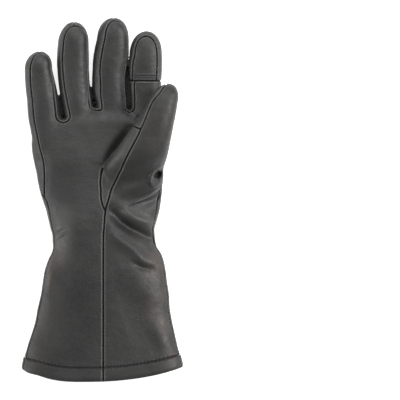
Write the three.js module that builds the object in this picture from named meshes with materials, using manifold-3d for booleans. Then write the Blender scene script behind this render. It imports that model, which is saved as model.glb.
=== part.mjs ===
import * as THREE from "three";
import { mergeVertices } from "three/addons/utils/BufferGeometryUtils.js";
import Module from "manifold-3d";

// A padded leather gauntlet glove for the right hand, lying on its back with the palm up.
// Millimetres. +Z is up, +Y points to the fingertips and +X to the thumb's side.
// The glove is one hollow shell, parted along its seams into the pieces that are sewn together.

// Hand and cuff
const handWidth = 135;
const palmLength = 128.5; // wrist to the webs between the fingers
const palmDepth = 34;
const webDepth = 29; // depth of the hand where it ends between the fingers
const wristWidth = 102;
const wristDepth = 39;
const cuffWidth = 160.5; // across the mouth
const cuffLength = 132; // wrist to the mouth's corners
const cuffDepth = 47;
const hemBow = 14.3; // how far the mouth's lowest point hangs below its corners
const hemLowest = -0.146; // where that point is, as a share of the mouth's width from the centre seam
const webBow = 26; // how far the webs drop from the middle of the hand to its sides
const webRound = 16; // length over which the hand closes between the fingers

// Fingers and thumb
const fingerLength = 87.2; // middle finger, from its web to the tip
const fingerWidth = 34;
const fingerDepth = 27;
const fingerLift = 5; // height that the tips curl off the surface
const thumbLength = 96;
const thumbWidth = 38;
const thumbDepth = 30;

// Leather and seams
const wall = 4; // leather, insulation and lining together
const seamGap = 0.35;
const stripWidth = 5; // side strip of a finger that shows beside the palm
const webSeamDepth = 4; // how far the palm's U seam dips below a web
const pastEdge = 0.8; // how far the palm panel runs past a finger's edge on the thumb's side
const seamLap = 1; // how far the thumb's free part starts below its crease

// Fineness of the surfaces
const stationStep = 13;
const fingerStep = 18;
const bodySides = 28;
const fingerSides = 12;
const thumbSides = 16;
const domeSteps = 4;
const domeEnd = 0.97; // a dome's last ring, where 1 would be its pole
const webSeamSteps = 8;
const mergeDistance = 1e-4;

// The cuff from the wrist (0) to the mouth (1). Left and right say how far each side has gone
// from the wrist's width to the mouth's.
const cuffRows = [
  { at: 0.05, left: 0.0, right: 0.03 },
  { at: 0.1, left: -0.01, right: 0.09 },
  { at: 0.136, left: 0.03, right: 0.21 },
  { at: 0.18, left: 0.13, right: 0.29 },
  { at: 0.27, left: 0.27, right: 0.38 },
  { at: 0.36, left: 0.32, right: 0.44 },
  { at: 0.45, left: 0.36, right: 0.5 },
  { at: 0.55, left: 0.46, right: 0.53 },
  { at: 0.64, left: 0.54, right: 0.61 },
  { at: 0.73, left: 0.65, right: 0.69 },
  { at: 0.82, left: 0.78, right: 0.77 },
  { at: 0.91, left: 0.9, right: 0.9 },
  { at: 1.0, left: 1.0, right: 1.0 },
];

// The hand from the wrist (0) to the webs (1), in the same way. Strip is the share of the
// side strip's width on the little finger's side.
const handRows = [
  { at: 0.0, left: 0.0, right: 0.0, strip: -1.2 },
  { at: 0.05, left: 0.08, right: -0.06, strip: -1.2 },
  { at: 0.1, left: 0.15, right: 0.14, strip: -1.2 },
  { at: 0.19, left: 0.27, right: 0.47, strip: -1.2 },
  { at: 0.28, left: 0.44, right: 0.75, strip: -1.2 },
  { at: 0.34, left: 0.52, right: 0.9, strip: 1.2 },
  { at: 0.47, left: 0.65, right: 1.0, strip: 1.5 },
  { at: 0.56, left: 0.76, right: 1.0, strip: 1.65 },
  { at: 0.65, left: 0.82, right: 0.98, strip: 1.5 },
  { at: 0.75, left: 0.88, right: 0.94, strip: 1.4 },
  { at: 0.84, left: 0.92, right: 0.91, strip: 1.25 },
  { at: 0.93, left: 0.97, right: 0.88, strip: 1.2 },
  { at: 1.0, left: 0.99, right: 0.84, strip: 1.15 },
];

// How each width lies about the centre seam: the share of it on the little finger's side.
const leftShare = { hand: 0.556, wrist: 0.496, cuff: 0.5065 };

// One finger to an entry. Length and width are shares of the middle finger's, dome is the
// rounded tip's share of the finger's own length. Rows run from inside the hand to the dome:
// at is a share of the length above the web, x a share of the hand's width from the centre
// seam, width a share of the finger's own.
const fingers = [
  {
    name: "little", length: 0.616, width: 0.882, dome: 0.3, tipX: -0.472, strip: 1, tipStrip: 0.1,
    rows: [
      { at: -0.83, x: -0.39, width: 0.95 },
      { at: -0.29, x: -0.42, width: 1.04 },
      { at: 0.065, x: -0.441, width: 1.1 },
      { at: 0.18, x: -0.453, width: 1.05 },
      { at: 0.41, x: -0.468, width: 1.0 },
      { at: 0.7, x: -0.482, width: 0.9 },
    ],
  },
  {
    name: "ring", length: 0.954, width: 0.929, dome: 0.264, tipX: -0.2156, strip: 1, tipStrip: 0.6,
    rows: [
      { at: -0.47, x: -0.177, width: 0.98 },
      { at: -0.13, x: -0.184, width: 1.03 },
      { at: 0.012, x: -0.19, width: 1.045 },
      { at: 0.114, x: -0.203, width: 0.99 },
      { at: 0.258, x: -0.215, width: 0.984 },
      { at: 0.403, x: -0.223, width: 1.0 },
      { at: 0.547, x: -0.227, width: 1.006 },
      { at: 0.736, x: -0.225, width: 0.96 },
    ],
  },
  {
    name: "middle", length: 1, width: 1, dome: 0.23, tipX: 0.0756, strip: 1.5, tipStrip: 0.4,
    rows: [
      { at: -0.413, x: 0.06, width: 1.0 },
      { at: -0.1, x: 0.058, width: 1.03 },
      { at: 0.012, x: 0.058, width: 1.024 },
      { at: 0.111, x: 0.047, width: 1.006 },
      { at: 0.247, x: 0.041, width: 1.009 },
      { at: 0.383, x: 0.0415, width: 1.0 },
      { at: 0.522, x: 0.051, width: 1.015 },
      { at: 0.655, x: 0.061, width: 0.982 },
      { at: 0.77, x: 0.071, width: 0.935 },
    ],
  },
  {
    name: "index", length: 0.849, width: 0.985, dome: 0.324, tipX: 0.3052, strip: 0.9, tipStrip: 0.8,
    rows: [
      { at: -0.42, x: 0.3156, width: 0.985 },
      { at: -0.054, x: 0.3156, width: 0.985 },
      { at: 0.135, x: 0.31, width: 1.0 },
      { at: 0.293, x: 0.3055, width: 0.99 },
      { at: 0.451, x: 0.308, width: 1.01 },
      { at: 0.61, x: 0.312, width: 0.988 },
      { at: 0.676, x: 0.315, width: 0.955 },
    ],
  },
];

// The palm's U seams at the webs: x and width are shares of the hand's width, bottom and top
// shares of the palm's length below and above the webs' line.
const webSeams = [
  { x: -0.3, width: 0.1, topX: -0.335, topWidth: 0.076, bottom: -0.127, top: 0.17 },
  { x: -0.062, width: 0.079, topX: -0.0675, topWidth: 0.085, bottom: -0.026, top: 0.24 },
  { x: 0.1955, width: 0.067, topX: 0.192, topWidth: 0.065, bottom: -0.045, top: 0.3 },
];

// The thumb from its root on the palm (0) to its tip (1). At is a share of its length, x a
// share of the hand's width from the centre seam, z of the palm's depth, width and depth of
// the thumb's own. Seam is where its long seam lies, from its middle, as a share of its width.
const thumbRoot = 0.422; // share of the palm's length above the wrist
const thumbDome = 0.19;
const thumbTip = { x: 0.4822, z: 1.35 };
const thumbRows = [
  { at: -0.22, x: 0.185, width: 1.3, z: 0.53, depth: 1.05, seam: -0.4 },
  { at: 0.0, x: 0.2133, width: 1.65, z: 0.62, depth: 1.33, seam: -0.257 },
  { at: 0.125, x: 0.2207, width: 1.59, z: 0.82, depth: 1.38, seam: -0.188 },
  { at: 0.25, x: 0.2674, width: 1.447, z: 1.08, depth: 1.27, seam: -0.222 },
  { at: 0.375, x: 0.3111, width: 1.28, z: 1.25, depth: 1.13, seam: -0.248 },
  { at: 0.5, x: 0.3489, width: 1.13, z: 1.35, depth: 1.03, seam: -0.26 },
  { at: 0.625, x: 0.3896, width: 0.947, z: 1.39, depth: 0.97, seam: -0.322 },
  { at: 0.75, x: 0.4237, width: 0.82, z: 1.39, depth: 0.9, seam: -0.359 },
  { at: 0.81, x: 0.44, width: 0.753, z: 1.38, depth: 0.87, seam: -0.367 },
];
const thumbCross = { at: 0.53, slope: -0.446 }; // seam across the thumb's inner strip
const thumbFree = { gusset: 0.5525, cuff: 0.463 }; // shares of the palm's length where it leaves the hand

// The long seam below the thumb, and the gusset's other edge: shares of the palm's length
// above the wrist, and of the hand's width from the centre seam.
const wristSeam = [
  { at: 0.0, x: 0.0 },
  { at: 0.136, x: 0.01 },
  { at: 0.23, x: 0.027 },
  { at: 0.284, x: 0.0415 },
  { at: 0.346, x: 0.056 },
];
const gussetEdge = [
  { at: 0.183, x: 0.017 },
  { at: 0.222, x: -0.003 },
  { at: 0.26, x: -0.014 },
  { at: 0.307, x: -0.02 },
  { at: 0.424, x: -0.0215 },
  { at: 0.478, x: -0.0155 },
  { at: 0.5175, x: -0.003 },
  { at: 0.5525, x: 0.019 },
];
const indexCross = 0.338; // seam below the index fingertip's patch, a share of the finger

// Side seams: height of the palm side's lower edge and of the back's upper edge, as shares of
// the depth there. Between the two lie the strips.
const palmSeam = { mouth: 0.63, wrist: 0.665, hand: 0.62, tip: 0.86 };
const backSeam = { hand: 0.26, tip: 0.42, starts: 0.27, full: 0.5 };

// Folds in the palm side, as valleys (depth below 0) and ridges from one point to another:
// x is a share of the wrist's width from the centre seam, y of the palm's length above the
// wrist, width and depth of the wrist's depth.
const folds = [
  { x0: 0.09, y0: 0.21, x1: 0.27, y1: 0.12, width: 0.13, depth: -0.07 },
  { x0: 0.08, y0: 0.1, x1: 0.5, y1: -0.05, width: 0.17, depth: -0.13 },
  { x0: 0.22, y0: 0.18, x1: 0.5, y1: 0.07, width: 0.14, depth: 0.06 },
  { x0: 0.08, y0: 0.03, x1: 0.54, y1: -0.2, width: 0.2, depth: 0.06 },
  { x0: 0.28, y0: 0.24, x1: 0.56, y1: 0.36, width: 0.13, depth: 0.07 },
  { x0: 0.5, y0: 0.46, x1: 0.58, y1: 0.46, width: 0.16, depth: -0.22 },
  { x0: 0.31, y0: -0.25, x1: 0.48, y1: -0.27, width: 0.15, depth: -0.06 },
  { x0: -0.48, y0: -0.02, x1: -0.38, y1: 0.02, width: 0.12, depth: -0.06 },
];

const wasm = await Module();
wasm.setup();

// Solids

function toSolid(geometry) {
  const bare = geometry.clone();
  bare.deleteAttribute("normal");
  bare.deleteAttribute("uv");
  const merged = mergeVertices(bare, mergeDistance);
  return new wasm.Manifold(
    new wasm.Mesh({
      numProp: 3,
      vertProperties: new Float32Array(merged.attributes.position.array),
      triVerts: new Uint32Array(merged.index.array),
    }),
  );
}

function joinAll(solids) {
  return solids.reduce((whole, solid) => whole.add(solid));
}

function cutAll(solid, cutters) {
  return cutters.reduce((rest, cutter) => rest.subtract(cutter), solid);
}

// The body with the most material, which leaves out crumbs that a cut has parted from it.
function largest(solid) {
  return solid.decompose().sort((a, b) => b.volume() - a.volume())[0];
}

// A closed skin over a row of rings with as many points each, with a fan over both ends.
function loft(rings) {
  const sides = rings[0].length;
  const points = rings.flat();
  const triangles = [];
  for (let r = 0; r + 1 < rings.length; r++) {
    for (let i = 0; i < sides; i++) {
      const j = (i + 1) % sides;
      const [a, b] = [r * sides + i, r * sides + j];
      const [c, d] = [a + sides, b + sides];
      triangles.push(a, c, b, b, c, d);
    }
  }
  const lastRing = (rings.length - 1) * sides;
  for (const [start, ring, turned] of [[0, rings[0], false], [lastRing, rings.at(-1), true]]) {
    const middle = points.length;
    points.push(ring.reduce((sum, p) => sum.add(p), new THREE.Vector3()).divideScalar(sides));
    for (let i = 0; i < sides; i++) {
      const edge = [start + i, start + ((i + 1) % sides)];
      triangles.push(...(turned ? edge.reverse() : edge), middle);
    }
  }
  const geometry = new THREE.BufferGeometry().setFromPoints(points);
  geometry.setIndex(triangles);
  return toSolid(geometry);
}

// An outline in X and Y, drawn up from the floor through everything.
const tallest = 3 * (palmDepth + thumbDepth);
function prism(outline) {
  const shape = new THREE.Shape(outline.map(([x, y]) => new THREE.Vector2(x, y)));
  const geometry = new THREE.ExtrudeGeometry(shape, { depth: 2 * tallest, bevelEnabled: false });
  return toSolid(geometry.translate(0, 0, -tallest));
}

// An outline in Y and Z, drawn across the glove's width.
const widest = 2 * Math.max(handWidth, wristWidth, cuffWidth);
function crosswise(outline) {
  const shape = new THREE.Shape(outline.map(([y, z]) => new THREE.Vector2(y, z)));
  const geometry = new THREE.ExtrudeGeometry(shape, { depth: 2 * widest, bevelEnabled: false });
  const turn = new THREE.Matrix4().makeBasis(
    new THREE.Vector3(0, 1, 0),
    new THREE.Vector3(0, 0, 1),
    new THREE.Vector3(1, 0, 0),
  );
  return toSolid(geometry.applyMatrix4(turn).translate(-widest, 0, 0));
}

// Tables

// A column's value between the rows of a table, along a smooth curve through them.
function between(rows, column, at, key = "at") {
  if (at <= rows[0][key]) return rows[0][column];
  if (at >= rows.at(-1)[key]) return rows.at(-1)[column];
  const i = rows.findIndex((row) => row[key] > at) - 1;
  const slope = (k) => {
    const [low, high] = [Math.max(k - 1, 0), Math.min(k + 1, rows.length - 1)];
    return (rows[high][column] - rows[low][column]) / (rows[high][key] - rows[low][key]);
  };
  const step = rows[i + 1][key] - rows[i][key];
  const t = (at - rows[i][key]) / step;
  return (
    rows[i][column] * (1 + 2 * t) * (1 - t) ** 2 +
    slope(i) * step * t * (1 - t) ** 2 +
    rows[i + 1][column] * t * t * (3 - 2 * t) +
    slope(i + 1) * step * t * t * (t - 1)
  );
}

function mix(from, to, share) {
  return from + (to - from) * share;
}

function smooth(low, high, value) {
  return THREE.MathUtils.smoothstep(value, low, high);
}

// Hand and cuff

const half = {
  hand: [handWidth * leftShare.hand, handWidth * (1 - leftShare.hand)],
  wrist: [wristWidth * leftShare.wrist, wristWidth * (1 - leftShare.wrist)],
  cuff: [cuffWidth * leftShare.cuff, cuffWidth * (1 - leftShare.cuff)],
};

// Shares of the palm's length where it has come down to its own depth, and from where on it
// comes down to the webs' depth.
const depthRange = { palm: 0.5, webs: 0.45 };
const bodyRows = [
  ...cuffRows.map((row) => ({
    y: -row.at * cuffLength,
    left: mix(half.wrist[0], half.cuff[0], row.left),
    right: mix(half.wrist[1], half.cuff[1], row.right),
    depth: mix(wristDepth, cuffDepth, row.at),
  })),
  ...handRows.map((row) => ({
    y: row.at * palmLength,
    left: mix(half.wrist[0], half.hand[0], row.left),
    right: mix(half.wrist[1], half.hand[1], row.right),
    depth: mix(
      mix(wristDepth, palmDepth, smooth(0, depthRange.palm, row.at)),
      webDepth,
      smooth(depthRange.webs, 1, row.at),
    ),
  })),
].sort((a, b) => a.y - b.y);

// Rise of the palm side over the plain section, from the folds near a point.
function foldHeight(x, y) {
  let rise = 0;
  for (const fold of folds) {
    const from = new THREE.Vector2(fold.x0 * wristWidth, fold.y0 * palmLength);
    const to = new THREE.Vector2(fold.x1 * wristWidth, fold.y1 * palmLength);
    const line = to.clone().sub(from);
    const point = new THREE.Vector2(x, y).sub(from);
    const along = THREE.MathUtils.clamp(point.dot(line) / line.lengthSq(), 0, 1);
    const off = point.sub(line.multiplyScalar(along)).length() / (fold.width * wristDepth);
    rise += fold.depth * wristDepth * Math.exp(-off * off);
  }
  return rise;
}

// A ring of a section that is round at its sides and flat where it lies on the floor.
// The lower half is a little deeper than the upper one, and what would go under the floor
// is pressed flat.
const sectionPower = 2.4;
const pressed = 1.06;
function section({ sides, x, y, z, across, up, floor }) {
  const ring = [];
  for (let i = 0; i < sides; i++) {
    const angle = (2 * Math.PI * i) / sides;
    const [c, s] = [Math.cos(angle), Math.sin(angle)];
    const round = (value) => Math.sign(value) * Math.abs(value) ** (2 / sectionPower);
    const width = Array.isArray(across) ? across[c < 0 ? 0 : 1] : across;
    const height = s < 0 ? up * pressed : up;
    ring.push(new THREE.Vector3(x + width * round(c), y, Math.max(floor, z + height * round(s))));
  }
  return ring;
}

function lerpShare(value, low, high) {
  return THREE.MathUtils.clamp((value - low) / (high - low), 0, 1);
}

// Moves a ring of the hand or cuff to the curved line of the webs or of the hem.
const hemPower = 2.6;
const webPower = 1.5;
const webHighest = 0.012; // share of the hand's width from the centre seam
function bend(ring, y) {
  const toHem = lerpShare(y, 0, -cuffLength) ** 2;
  const toWeb = lerpShare(y, palmLength / 2, palmLength);
  const [hemMiddle, webMiddle] = [hemLowest * cuffWidth, webHighest * handWidth];
  for (const point of ring) {
    const hemEnd = point.x < hemMiddle ? -half.cuff[0] : half.cuff[1];
    const hemSide = Math.min(1, (point.x - hemMiddle) / (hemEnd - hemMiddle));
    const webSide = Math.abs(point.x - webMiddle) / (half.hand[0] - webMiddle);
    point.y -= hemBow * (1 - hemSide ** hemPower) * toHem;
    point.y -= webBow * webSide ** webPower * toWeb;
  }
  return ring;
}

// A fold has its whole height from this share of the upper half's depth on.
const foldFull = 0.62;
function fold(ring, middle, topDepth) {
  for (const point of ring) {
    const share = Math.max(0, (point.z - middle) / topDepth);
    point.z += foldHeight(point.x, point.y) * Math.min(1, share / foldFull);
  }
  return ring;
}

const webNarrowing = 0.06; // share of its width that the hand loses as it closes at the webs
const thinnest = { hand: 0.2, finger: 0.1 }; // share of the depth left where a form closes
function bodyLoft(inset, past) {
  const top = palmLength - webRound;
  const count = Math.round((cuffLength + top) / stationStep);
  const rings = [];
  const addRing = (y, shrink, at) => {
    const depth = between(bodyRows, "depth", y, "y");
    const across = ["left", "right"].map((side) => {
      return (between(bodyRows, side, y, "y") - inset) * (1 - webNarrowing * (1 - shrink));
    });
    const up = (depth / 2 - inset) * Math.max(shrink, thinnest.hand);
    const ring = section({ sides: bodySides, x: 0, y: at, z: depth / 2, across, up, floor: inset });
    rings.push(fold(bend(ring, y), depth / 2, depth / 2));
  };
  if (past) addRing(-cuffLength, 1, -cuffLength - past);
  for (let i = 0; i <= count; i++) {
    const y = mix(-cuffLength, top, i / count);
    addRing(y, 1, y);
  }
  for (let i = 1; i <= domeSteps; i++) {
    const share = Math.sin((Math.PI / 2) * (i / domeSteps));
    addRing(top, Math.sqrt(1 - share * share), top + (webRound - inset) * share);
  }
  return loft(rings);
}

// Fingers

function fingerSize(finger) {
  return {
    length: fingerLength * finger.length,
    width: fingerWidth * finger.width,
    domeAt: 1 - finger.dome,
  };
}

// Middle, half width and share of roundness of a finger at a share of its length. Its root
// is a little slimmer than the hand, so that it starts inside.
const domePower = 2.2;
const rootShare = { width: 0.9, depth: 0.7 };
function fingerAt(finger, at) {
  const { width, domeAt } = fingerSize(finger);
  const over = lerpShare(at, domeAt, 1);
  const x = between(finger.rows, "x", at);
  const root = lerpShare(at, 0, finger.rows[0].at);
  return {
    x: handWidth * mix(x, finger.tipX, over),
    across: (width / 2) * between(finger.rows, "width", at) * mix(1, rootShare.width, root),
    round: (1 - over ** domePower) ** (1 / domePower),
    z: mix(fingerDepth / 2 + fingerLift * Math.max(0, at) ** 2, palmDepth / 2, root),
    up: (fingerDepth / 2) * mix(1, rootShare.depth, root),
  };
}

function fingerShares(finger) {
  const { domeAt } = fingerSize(finger);
  const first = finger.rows[0].at;
  const count = Math.ceil(((domeAt - first) * fingerSize(finger).length) / fingerStep);
  const shares = [];
  for (let i = 0; i <= count; i++) shares.push(mix(first, domeAt, i / count));
  for (let i = 1; i <= domeSteps; i++) {
    shares.push(mix(domeAt, 1, Math.sin((Math.PI / 2) * (i / domeSteps) * domeEnd)));
  }
  return shares;
}

function fingerLoft(finger, inset) {
  const { length, domeAt } = fingerSize(finger);
  const rings = fingerShares(finger).map((at) => {
    const place = fingerAt(finger, at);
    const tip = lerpShare(at, domeAt, 1);
    return section({
      sides: fingerSides,
      x: place.x,
      y: palmLength + length * at - inset * tip,
      z: place.z,
      across: (place.across - inset) * place.round,
      up: (place.up - inset) * Math.max(place.round, thinnest.finger),
      floor: inset,
    });
  });
  return loft(rings);
}

// Outline in plan of a finger's palm side, between its seams.
function fingerOutline(finger, { left, right, tip, from }) {
  const { length } = fingerSize(finger);
  const shares = fingerShares(finger).map((at) => Math.max(at, from));
  const low = shares.lastIndexOf(from);
  const kept = shares.slice(Math.max(low, 0));
  const side = (sign, inset) =>
    kept.map((at) => {
      const place = fingerAt(finger, at);
      const x = place.x + sign * (place.across - inset) * place.round;
      return [x, palmLength + length * at - tip * lerpShare(at, 1 - finger.dome, 1)];
    });
  return [...side(1, right), ...side(-1, left).reverse()];
}

// Thumb

function thumbAt(at) {
  const over = lerpShare(at, 1 - thumbDome, 1);
  const column = (name) => between(thumbRows, name, at);
  return {
    x: handWidth * mix(column("x"), thumbTip.x, over),
    y: palmLength * thumbRoot + thumbLength * at,
    z: palmDepth * mix(column("z"), thumbTip.z, over),
    across: (thumbWidth / 2) * column("width"),
    up: (thumbDepth / 2) * column("depth"),
    round: Math.sqrt(1 - over * over),
    seam: thumbWidth * column("width") * column("seam"),
  };
}

function thumbShares() {
  const first = thumbRows[0].at;
  const count = Math.ceil(((1 - thumbDome - first) * thumbLength) / stationStep);
  const shares = [];
  for (let i = 0; i <= count; i++) shares.push(mix(first, 1 - thumbDome, i / count));
  for (let i = 1; i <= domeSteps; i++) {
    shares.push(mix(1 - thumbDome, 1, Math.sin((Math.PI / 2) * (i / domeSteps) * domeEnd)));
  }
  return shares;
}

function thumbLoft(inset) {
  const rings = thumbShares().map((at) => {
    const place = thumbAt(at);
    const tip = lerpShare(at, 1 - thumbDome, 1);
    return section({
      sides: thumbSides,
      x: place.x,
      y: place.y - inset * tip,
      z: place.z,
      across: (place.across - inset) * place.round,
      up: (place.up - inset) * place.round,
      floor: inset,
    });
  });
  return loft(rings);
}

// Seams, each moved sideways by the amount given

function mainSeam(shift) {
  const points = [[shift, -2 * cuffLength]];
  for (const row of wristSeam) points.push([handWidth * row.x + shift, palmLength * row.at]);
  for (const at of thumbShares().filter((share) => share >= 0 && share <= 1 - thumbDome)) {
    const place = thumbAt(at);
    points.push([place.x + place.seam + shift, place.y]);
  }
  const tip = thumbAt(1);
  points.push([tip.x + shift, tip.y + wall]);
  return points;
}

// The stretch of a seam between two heights in Y.
function stretch(seam, low, high) {
  const at = (y) => {
    const i = Math.max(1, seam.findIndex((point) => point[1] > y));
    const share = (y - seam[i - 1][1]) / (seam[i][1] - seam[i - 1][1]);
    return [mix(seam[i - 1][0], seam[i][0], share), y];
  };
  return [at(low), ...seam.filter(([, y]) => y > low && y < high), at(high)];
}

function halfPlane(seam, side) {
  const far = side * widest;
  return prism([...seam, [far, seam.at(-1)[1]], [far, seam[0][1]]]);
}

function yBand(low, high) {
  return prism([[-widest, low], [widest, low], [widest, high], [-widest, high]]);
}

// Material above the palm side's lower edge, or below the back's upper edge.
const fingerTop = palmLength + fingerLength + wall;
const backHeight = backSeam.hand * palmDepth;
const seamRows = [
  { y: -2 * cuffLength, palm: palmSeam.mouth * cuffDepth, strip: 0 },
  { y: -cuffLength, palm: palmSeam.mouth * cuffDepth, strip: 0 },
  { y: 0, palm: palmSeam.wrist * wristDepth, strip: 0 },
  { y: backSeam.starts * palmLength, palm: palmSeam.hand * palmDepth, strip: 0 },
  { y: backSeam.full * palmLength, palm: palmSeam.hand * palmDepth, strip: 1, back: backHeight },
  { y: palmLength, palm: palmSeam.hand * palmDepth, strip: 1, back: backHeight },
  { y: fingerTop, palm: palmSeam.tip * fingerDepth, strip: 1, back: backSeam.tip * fingerDepth },
];

function palmSide(lower) {
  const edge = seamRows.map((row) => [row.y, row.palm - lower]);
  return crosswise([...edge, [fingerTop, tallest], [-2 * cuffLength, tallest]]);
}

function backSide(higher) {
  const edge = seamRows.map((row) => [row.y, (row.strip ? row.back : row.palm - seamGap) + higher]);
  return crosswise([[-2 * cuffLength, -tallest], [fingerTop, -tallest], ...edge.reverse()]);
}

// Plan of the palm panel: the hand, the fingers and the cuff, without the webs' U seams.
function palmPlan(grow) {
  const edge = handRows.map((row) => {
    const left = mix(half.wrist[0], half.hand[0], row.left);
    return [-left + row.strip * stripWidth - grow, palmLength * row.at];
  });
  const webLine = palmLength - webSeamDepth;
  const hand = prism([
    [-widest, -2 * cuffLength],
    [widest, -2 * cuffLength],
    [widest, webLine],
    [edge.at(-1)[0], webLine],
    ...edge.slice(0, -1).reverse(),
    [-widest, edge[0][1]],
  ]);
  const plans = fingers.map((finger) =>
    prism(
      fingerOutline(finger, {
        left: finger.strip * stripWidth - grow,
        right: -pastEdge - grow,
        tip: finger.tipStrip * stripWidth - grow,
        from: finger.rows[0].at,
      }),
    ),
  );
  return cutAll(joinAll([hand, ...plans]), webSeams.map((web) => prism(webOutline(web, grow))));
}

function webOutline(web, shrink) {
  const radius = (web.width * handWidth) / 2 - shrink;
  const bottom = palmLength * (1 + web.bottom) + shrink;
  const outline = [];
  for (let i = 0; i <= webSeamSteps; i++) {
    const angle = Math.PI * (1 + i / webSeamSteps);
    outline.push([
      web.x * handWidth + radius * Math.cos(angle),
      bottom + radius + radius * Math.sin(angle),
    ]);
  }
  const top = palmLength * (1 + web.top);
  const topHalf = (web.topWidth * handWidth) / 2 - shrink;
  outline.push([web.topX * handWidth + topHalf, top], [web.topX * handWidth - topHalf, top]);
  return outline;
}

// Parting the shell into its panels

const bodyOuter = bodyLoft(0, 0);
const handOuter = joinAll([bodyOuter, ...fingers.map((finger) => fingerLoft(finger, 0))]);
const outer = handOuter.add(thumbLoft(0));
const inner = joinAll([
  bodyLoft(wall, 2 * wall),
  ...fingers.map((finger) => fingerLoft(finger, wall)),
  thumbLoft(wall),
]);
const shell = largest(outer.subtract(inner));
const handFat = joinAll([bodyLoft(-seamGap, 0), ...fingers.map((finger) => fingerLoft(finger, -seamGap))]);

// The thumb stands free of the hand above the gusset's edge, and on its outer side above the crease.
const gussetTop = palmLength * thumbFree.gusset;
const cuffTop = palmLength * thumbFree.cuff;
const thumbTube = shell.subtract(handFat);
const leftOfSeam = halfPlane(mainSeam(-seamGap / 2), -1);
const rightOfSeam = halfPlane(mainSeam(seamGap / 2), 1);
const freeThumb = yBand(gussetTop - seamLap, fingerTop);

function gussetPlan(grow) {
  const edge = gussetEdge.map((row) => [handWidth * row.x - grow, palmLength * row.at]);
  const low = edge[0][1] - grow;
  const high = edge.at(-1)[1] + grow;
  edge[0][1] = low;
  edge.at(-1)[1] = high;
  return prism([...stretch(mainSeam(grow - seamGap / 2), low, high), ...edge.reverse()]);
}

function cuffPlan(grow) {
  const high = cuffTop + grow;
  const seam = stretch(mainSeam(seamGap / 2 - grow), -2 * cuffLength + wall, high);
  return prism([...seam, [widest, high], [widest, seam[0][1]]]);
}

const crossY = palmLength * thumbRoot + thumbLength * thumbCross.at;
const crossX = thumbAt(thumbCross.at).x + thumbAt(thumbCross.at).seam;
function aboveCross(shift) {
  const at = (x) => crossY + shift + (x - crossX) * thumbCross.slope;
  const [low, high] = [-widest, widest];
  return prism([[low, at(low)], [high, at(high)], [high, at(low) + widest], [low, at(low) + widest]]);
}

const thumbLeft = thumbTube.intersect(leftOfSeam).intersect(freeThumb);
const gussetWhole = thumbLeft.add(shell.intersect(gussetPlan(0)).intersect(palmSide(0)));
const cuffWhole = thumbTube
  .intersect(rightOfSeam)
  .intersect(yBand(cuffTop - seamLap, fingerTop))
  .add(shell.intersect(cuffPlan(0)).intersect(palmSide(0)));

const hand = shell.intersect(handOuter);
const handCutters = [
  gussetPlan(seamGap).intersect(palmSide(seamGap)),
  cuffPlan(seamGap).intersect(palmSide(seamGap)),
];
const handRest = cutAll(hand, handCutters);

const index = fingers.at(-1);
const indexSeamY = palmLength + fingerSize(index).length * indexCross;
const patchEdges = { left: index.strip * stripWidth, right: index.strip * stripWidth };
const patchTip = index.tipStrip * stripWidth;
function patchPlan(grow) {
  const outline = fingerOutline(index, {
    left: patchEdges.left - grow,
    right: patchEdges.right - grow,
    tip: patchTip - grow,
    from: index.rows[0].at,
  });
  return prism(outline).intersect(yBand(indexSeamY - grow, fingerTop));
}

const indexLeft = handWidth * (index.rows[0].x + fingers.at(-2).rows[0].x) / 2;
const indexEnd = prism([
  [indexLeft, indexSeamY],
  [widest, indexSeamY],
  [widest, fingerTop],
  [indexLeft, fingerTop],
]);
const indexEndGrown = prism([
  [indexLeft, indexSeamY - seamGap],
  [widest, indexSeamY - seamGap],
  [widest, fingerTop],
  [indexLeft, fingerTop],
]);
const palmWhole = handRest.intersect(palmPlan(0)).intersect(palmSide(0)).subtract(indexEndGrown);
const patchWhole = handRest.intersect(patchPlan(0)).intersect(palmSide(0));
const backWhole = handRest.intersect(backSide(0));

// What is left is the strips. A short cut at each fingertip parts one from the next.
const stripNames = [
  "little_side_strip",
  "fourchette_ring_little",
  "fourchette_middle_ring",
  "fourchette_index_middle",
  "index_side_strip",
];
const stripWhole = cutAll(handRest, [
  palmPlan(seamGap).intersect(palmSide(seamGap)).subtract(indexEnd),
  patchPlan(seamGap).intersect(palmSide(seamGap)),
  backSide(seamGap),
]);
const tipCuts = fingers.slice(0, -1).map((finger) => {
  const { length } = fingerSize(finger);
  const [x, y] = [handWidth * finger.tipX, palmLength + length];
  const halfGap = seamGap / 2;
  const low = y - finger.dome * length;
  return prism([[x - halfGap, low], [x + halfGap, low], [x + halfGap, y + wall], [x - halfGap, y + wall]]);
});
const indexTipSide = stripWhole.intersect(indexEnd);
const strips = cutAll(stripWhole, [...tipCuts, indexEndGrown])
  .decompose()
  .sort((a, b) => b.volume() - a.volume())
  .slice(0, stripNames.length)
  .sort((a, b) => a.boundingBox().min[0] - b.boundingBox().min[0]);

// Pieces

const leatherColour = 0x454545;
function leather() {
  return new THREE.MeshStandardMaterial({ color: leatherColour, roughness: 0.55, metalness: 0 });
}

function piece(name, solid) {
  const { vertProperties, triVerts, numProp } = solid.getMesh();
  const geometry = new THREE.BufferGeometry();
  geometry.setAttribute("position", new THREE.BufferAttribute(new Float32Array(vertProperties), numProp));
  geometry.setIndex(new THREE.BufferAttribute(new Uint32Array(triVerts), 1));
  geometry.computeVertexNormals();
  const mesh = new THREE.Mesh(geometry, leather());
  mesh.name = name;
  return mesh;
}

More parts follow.
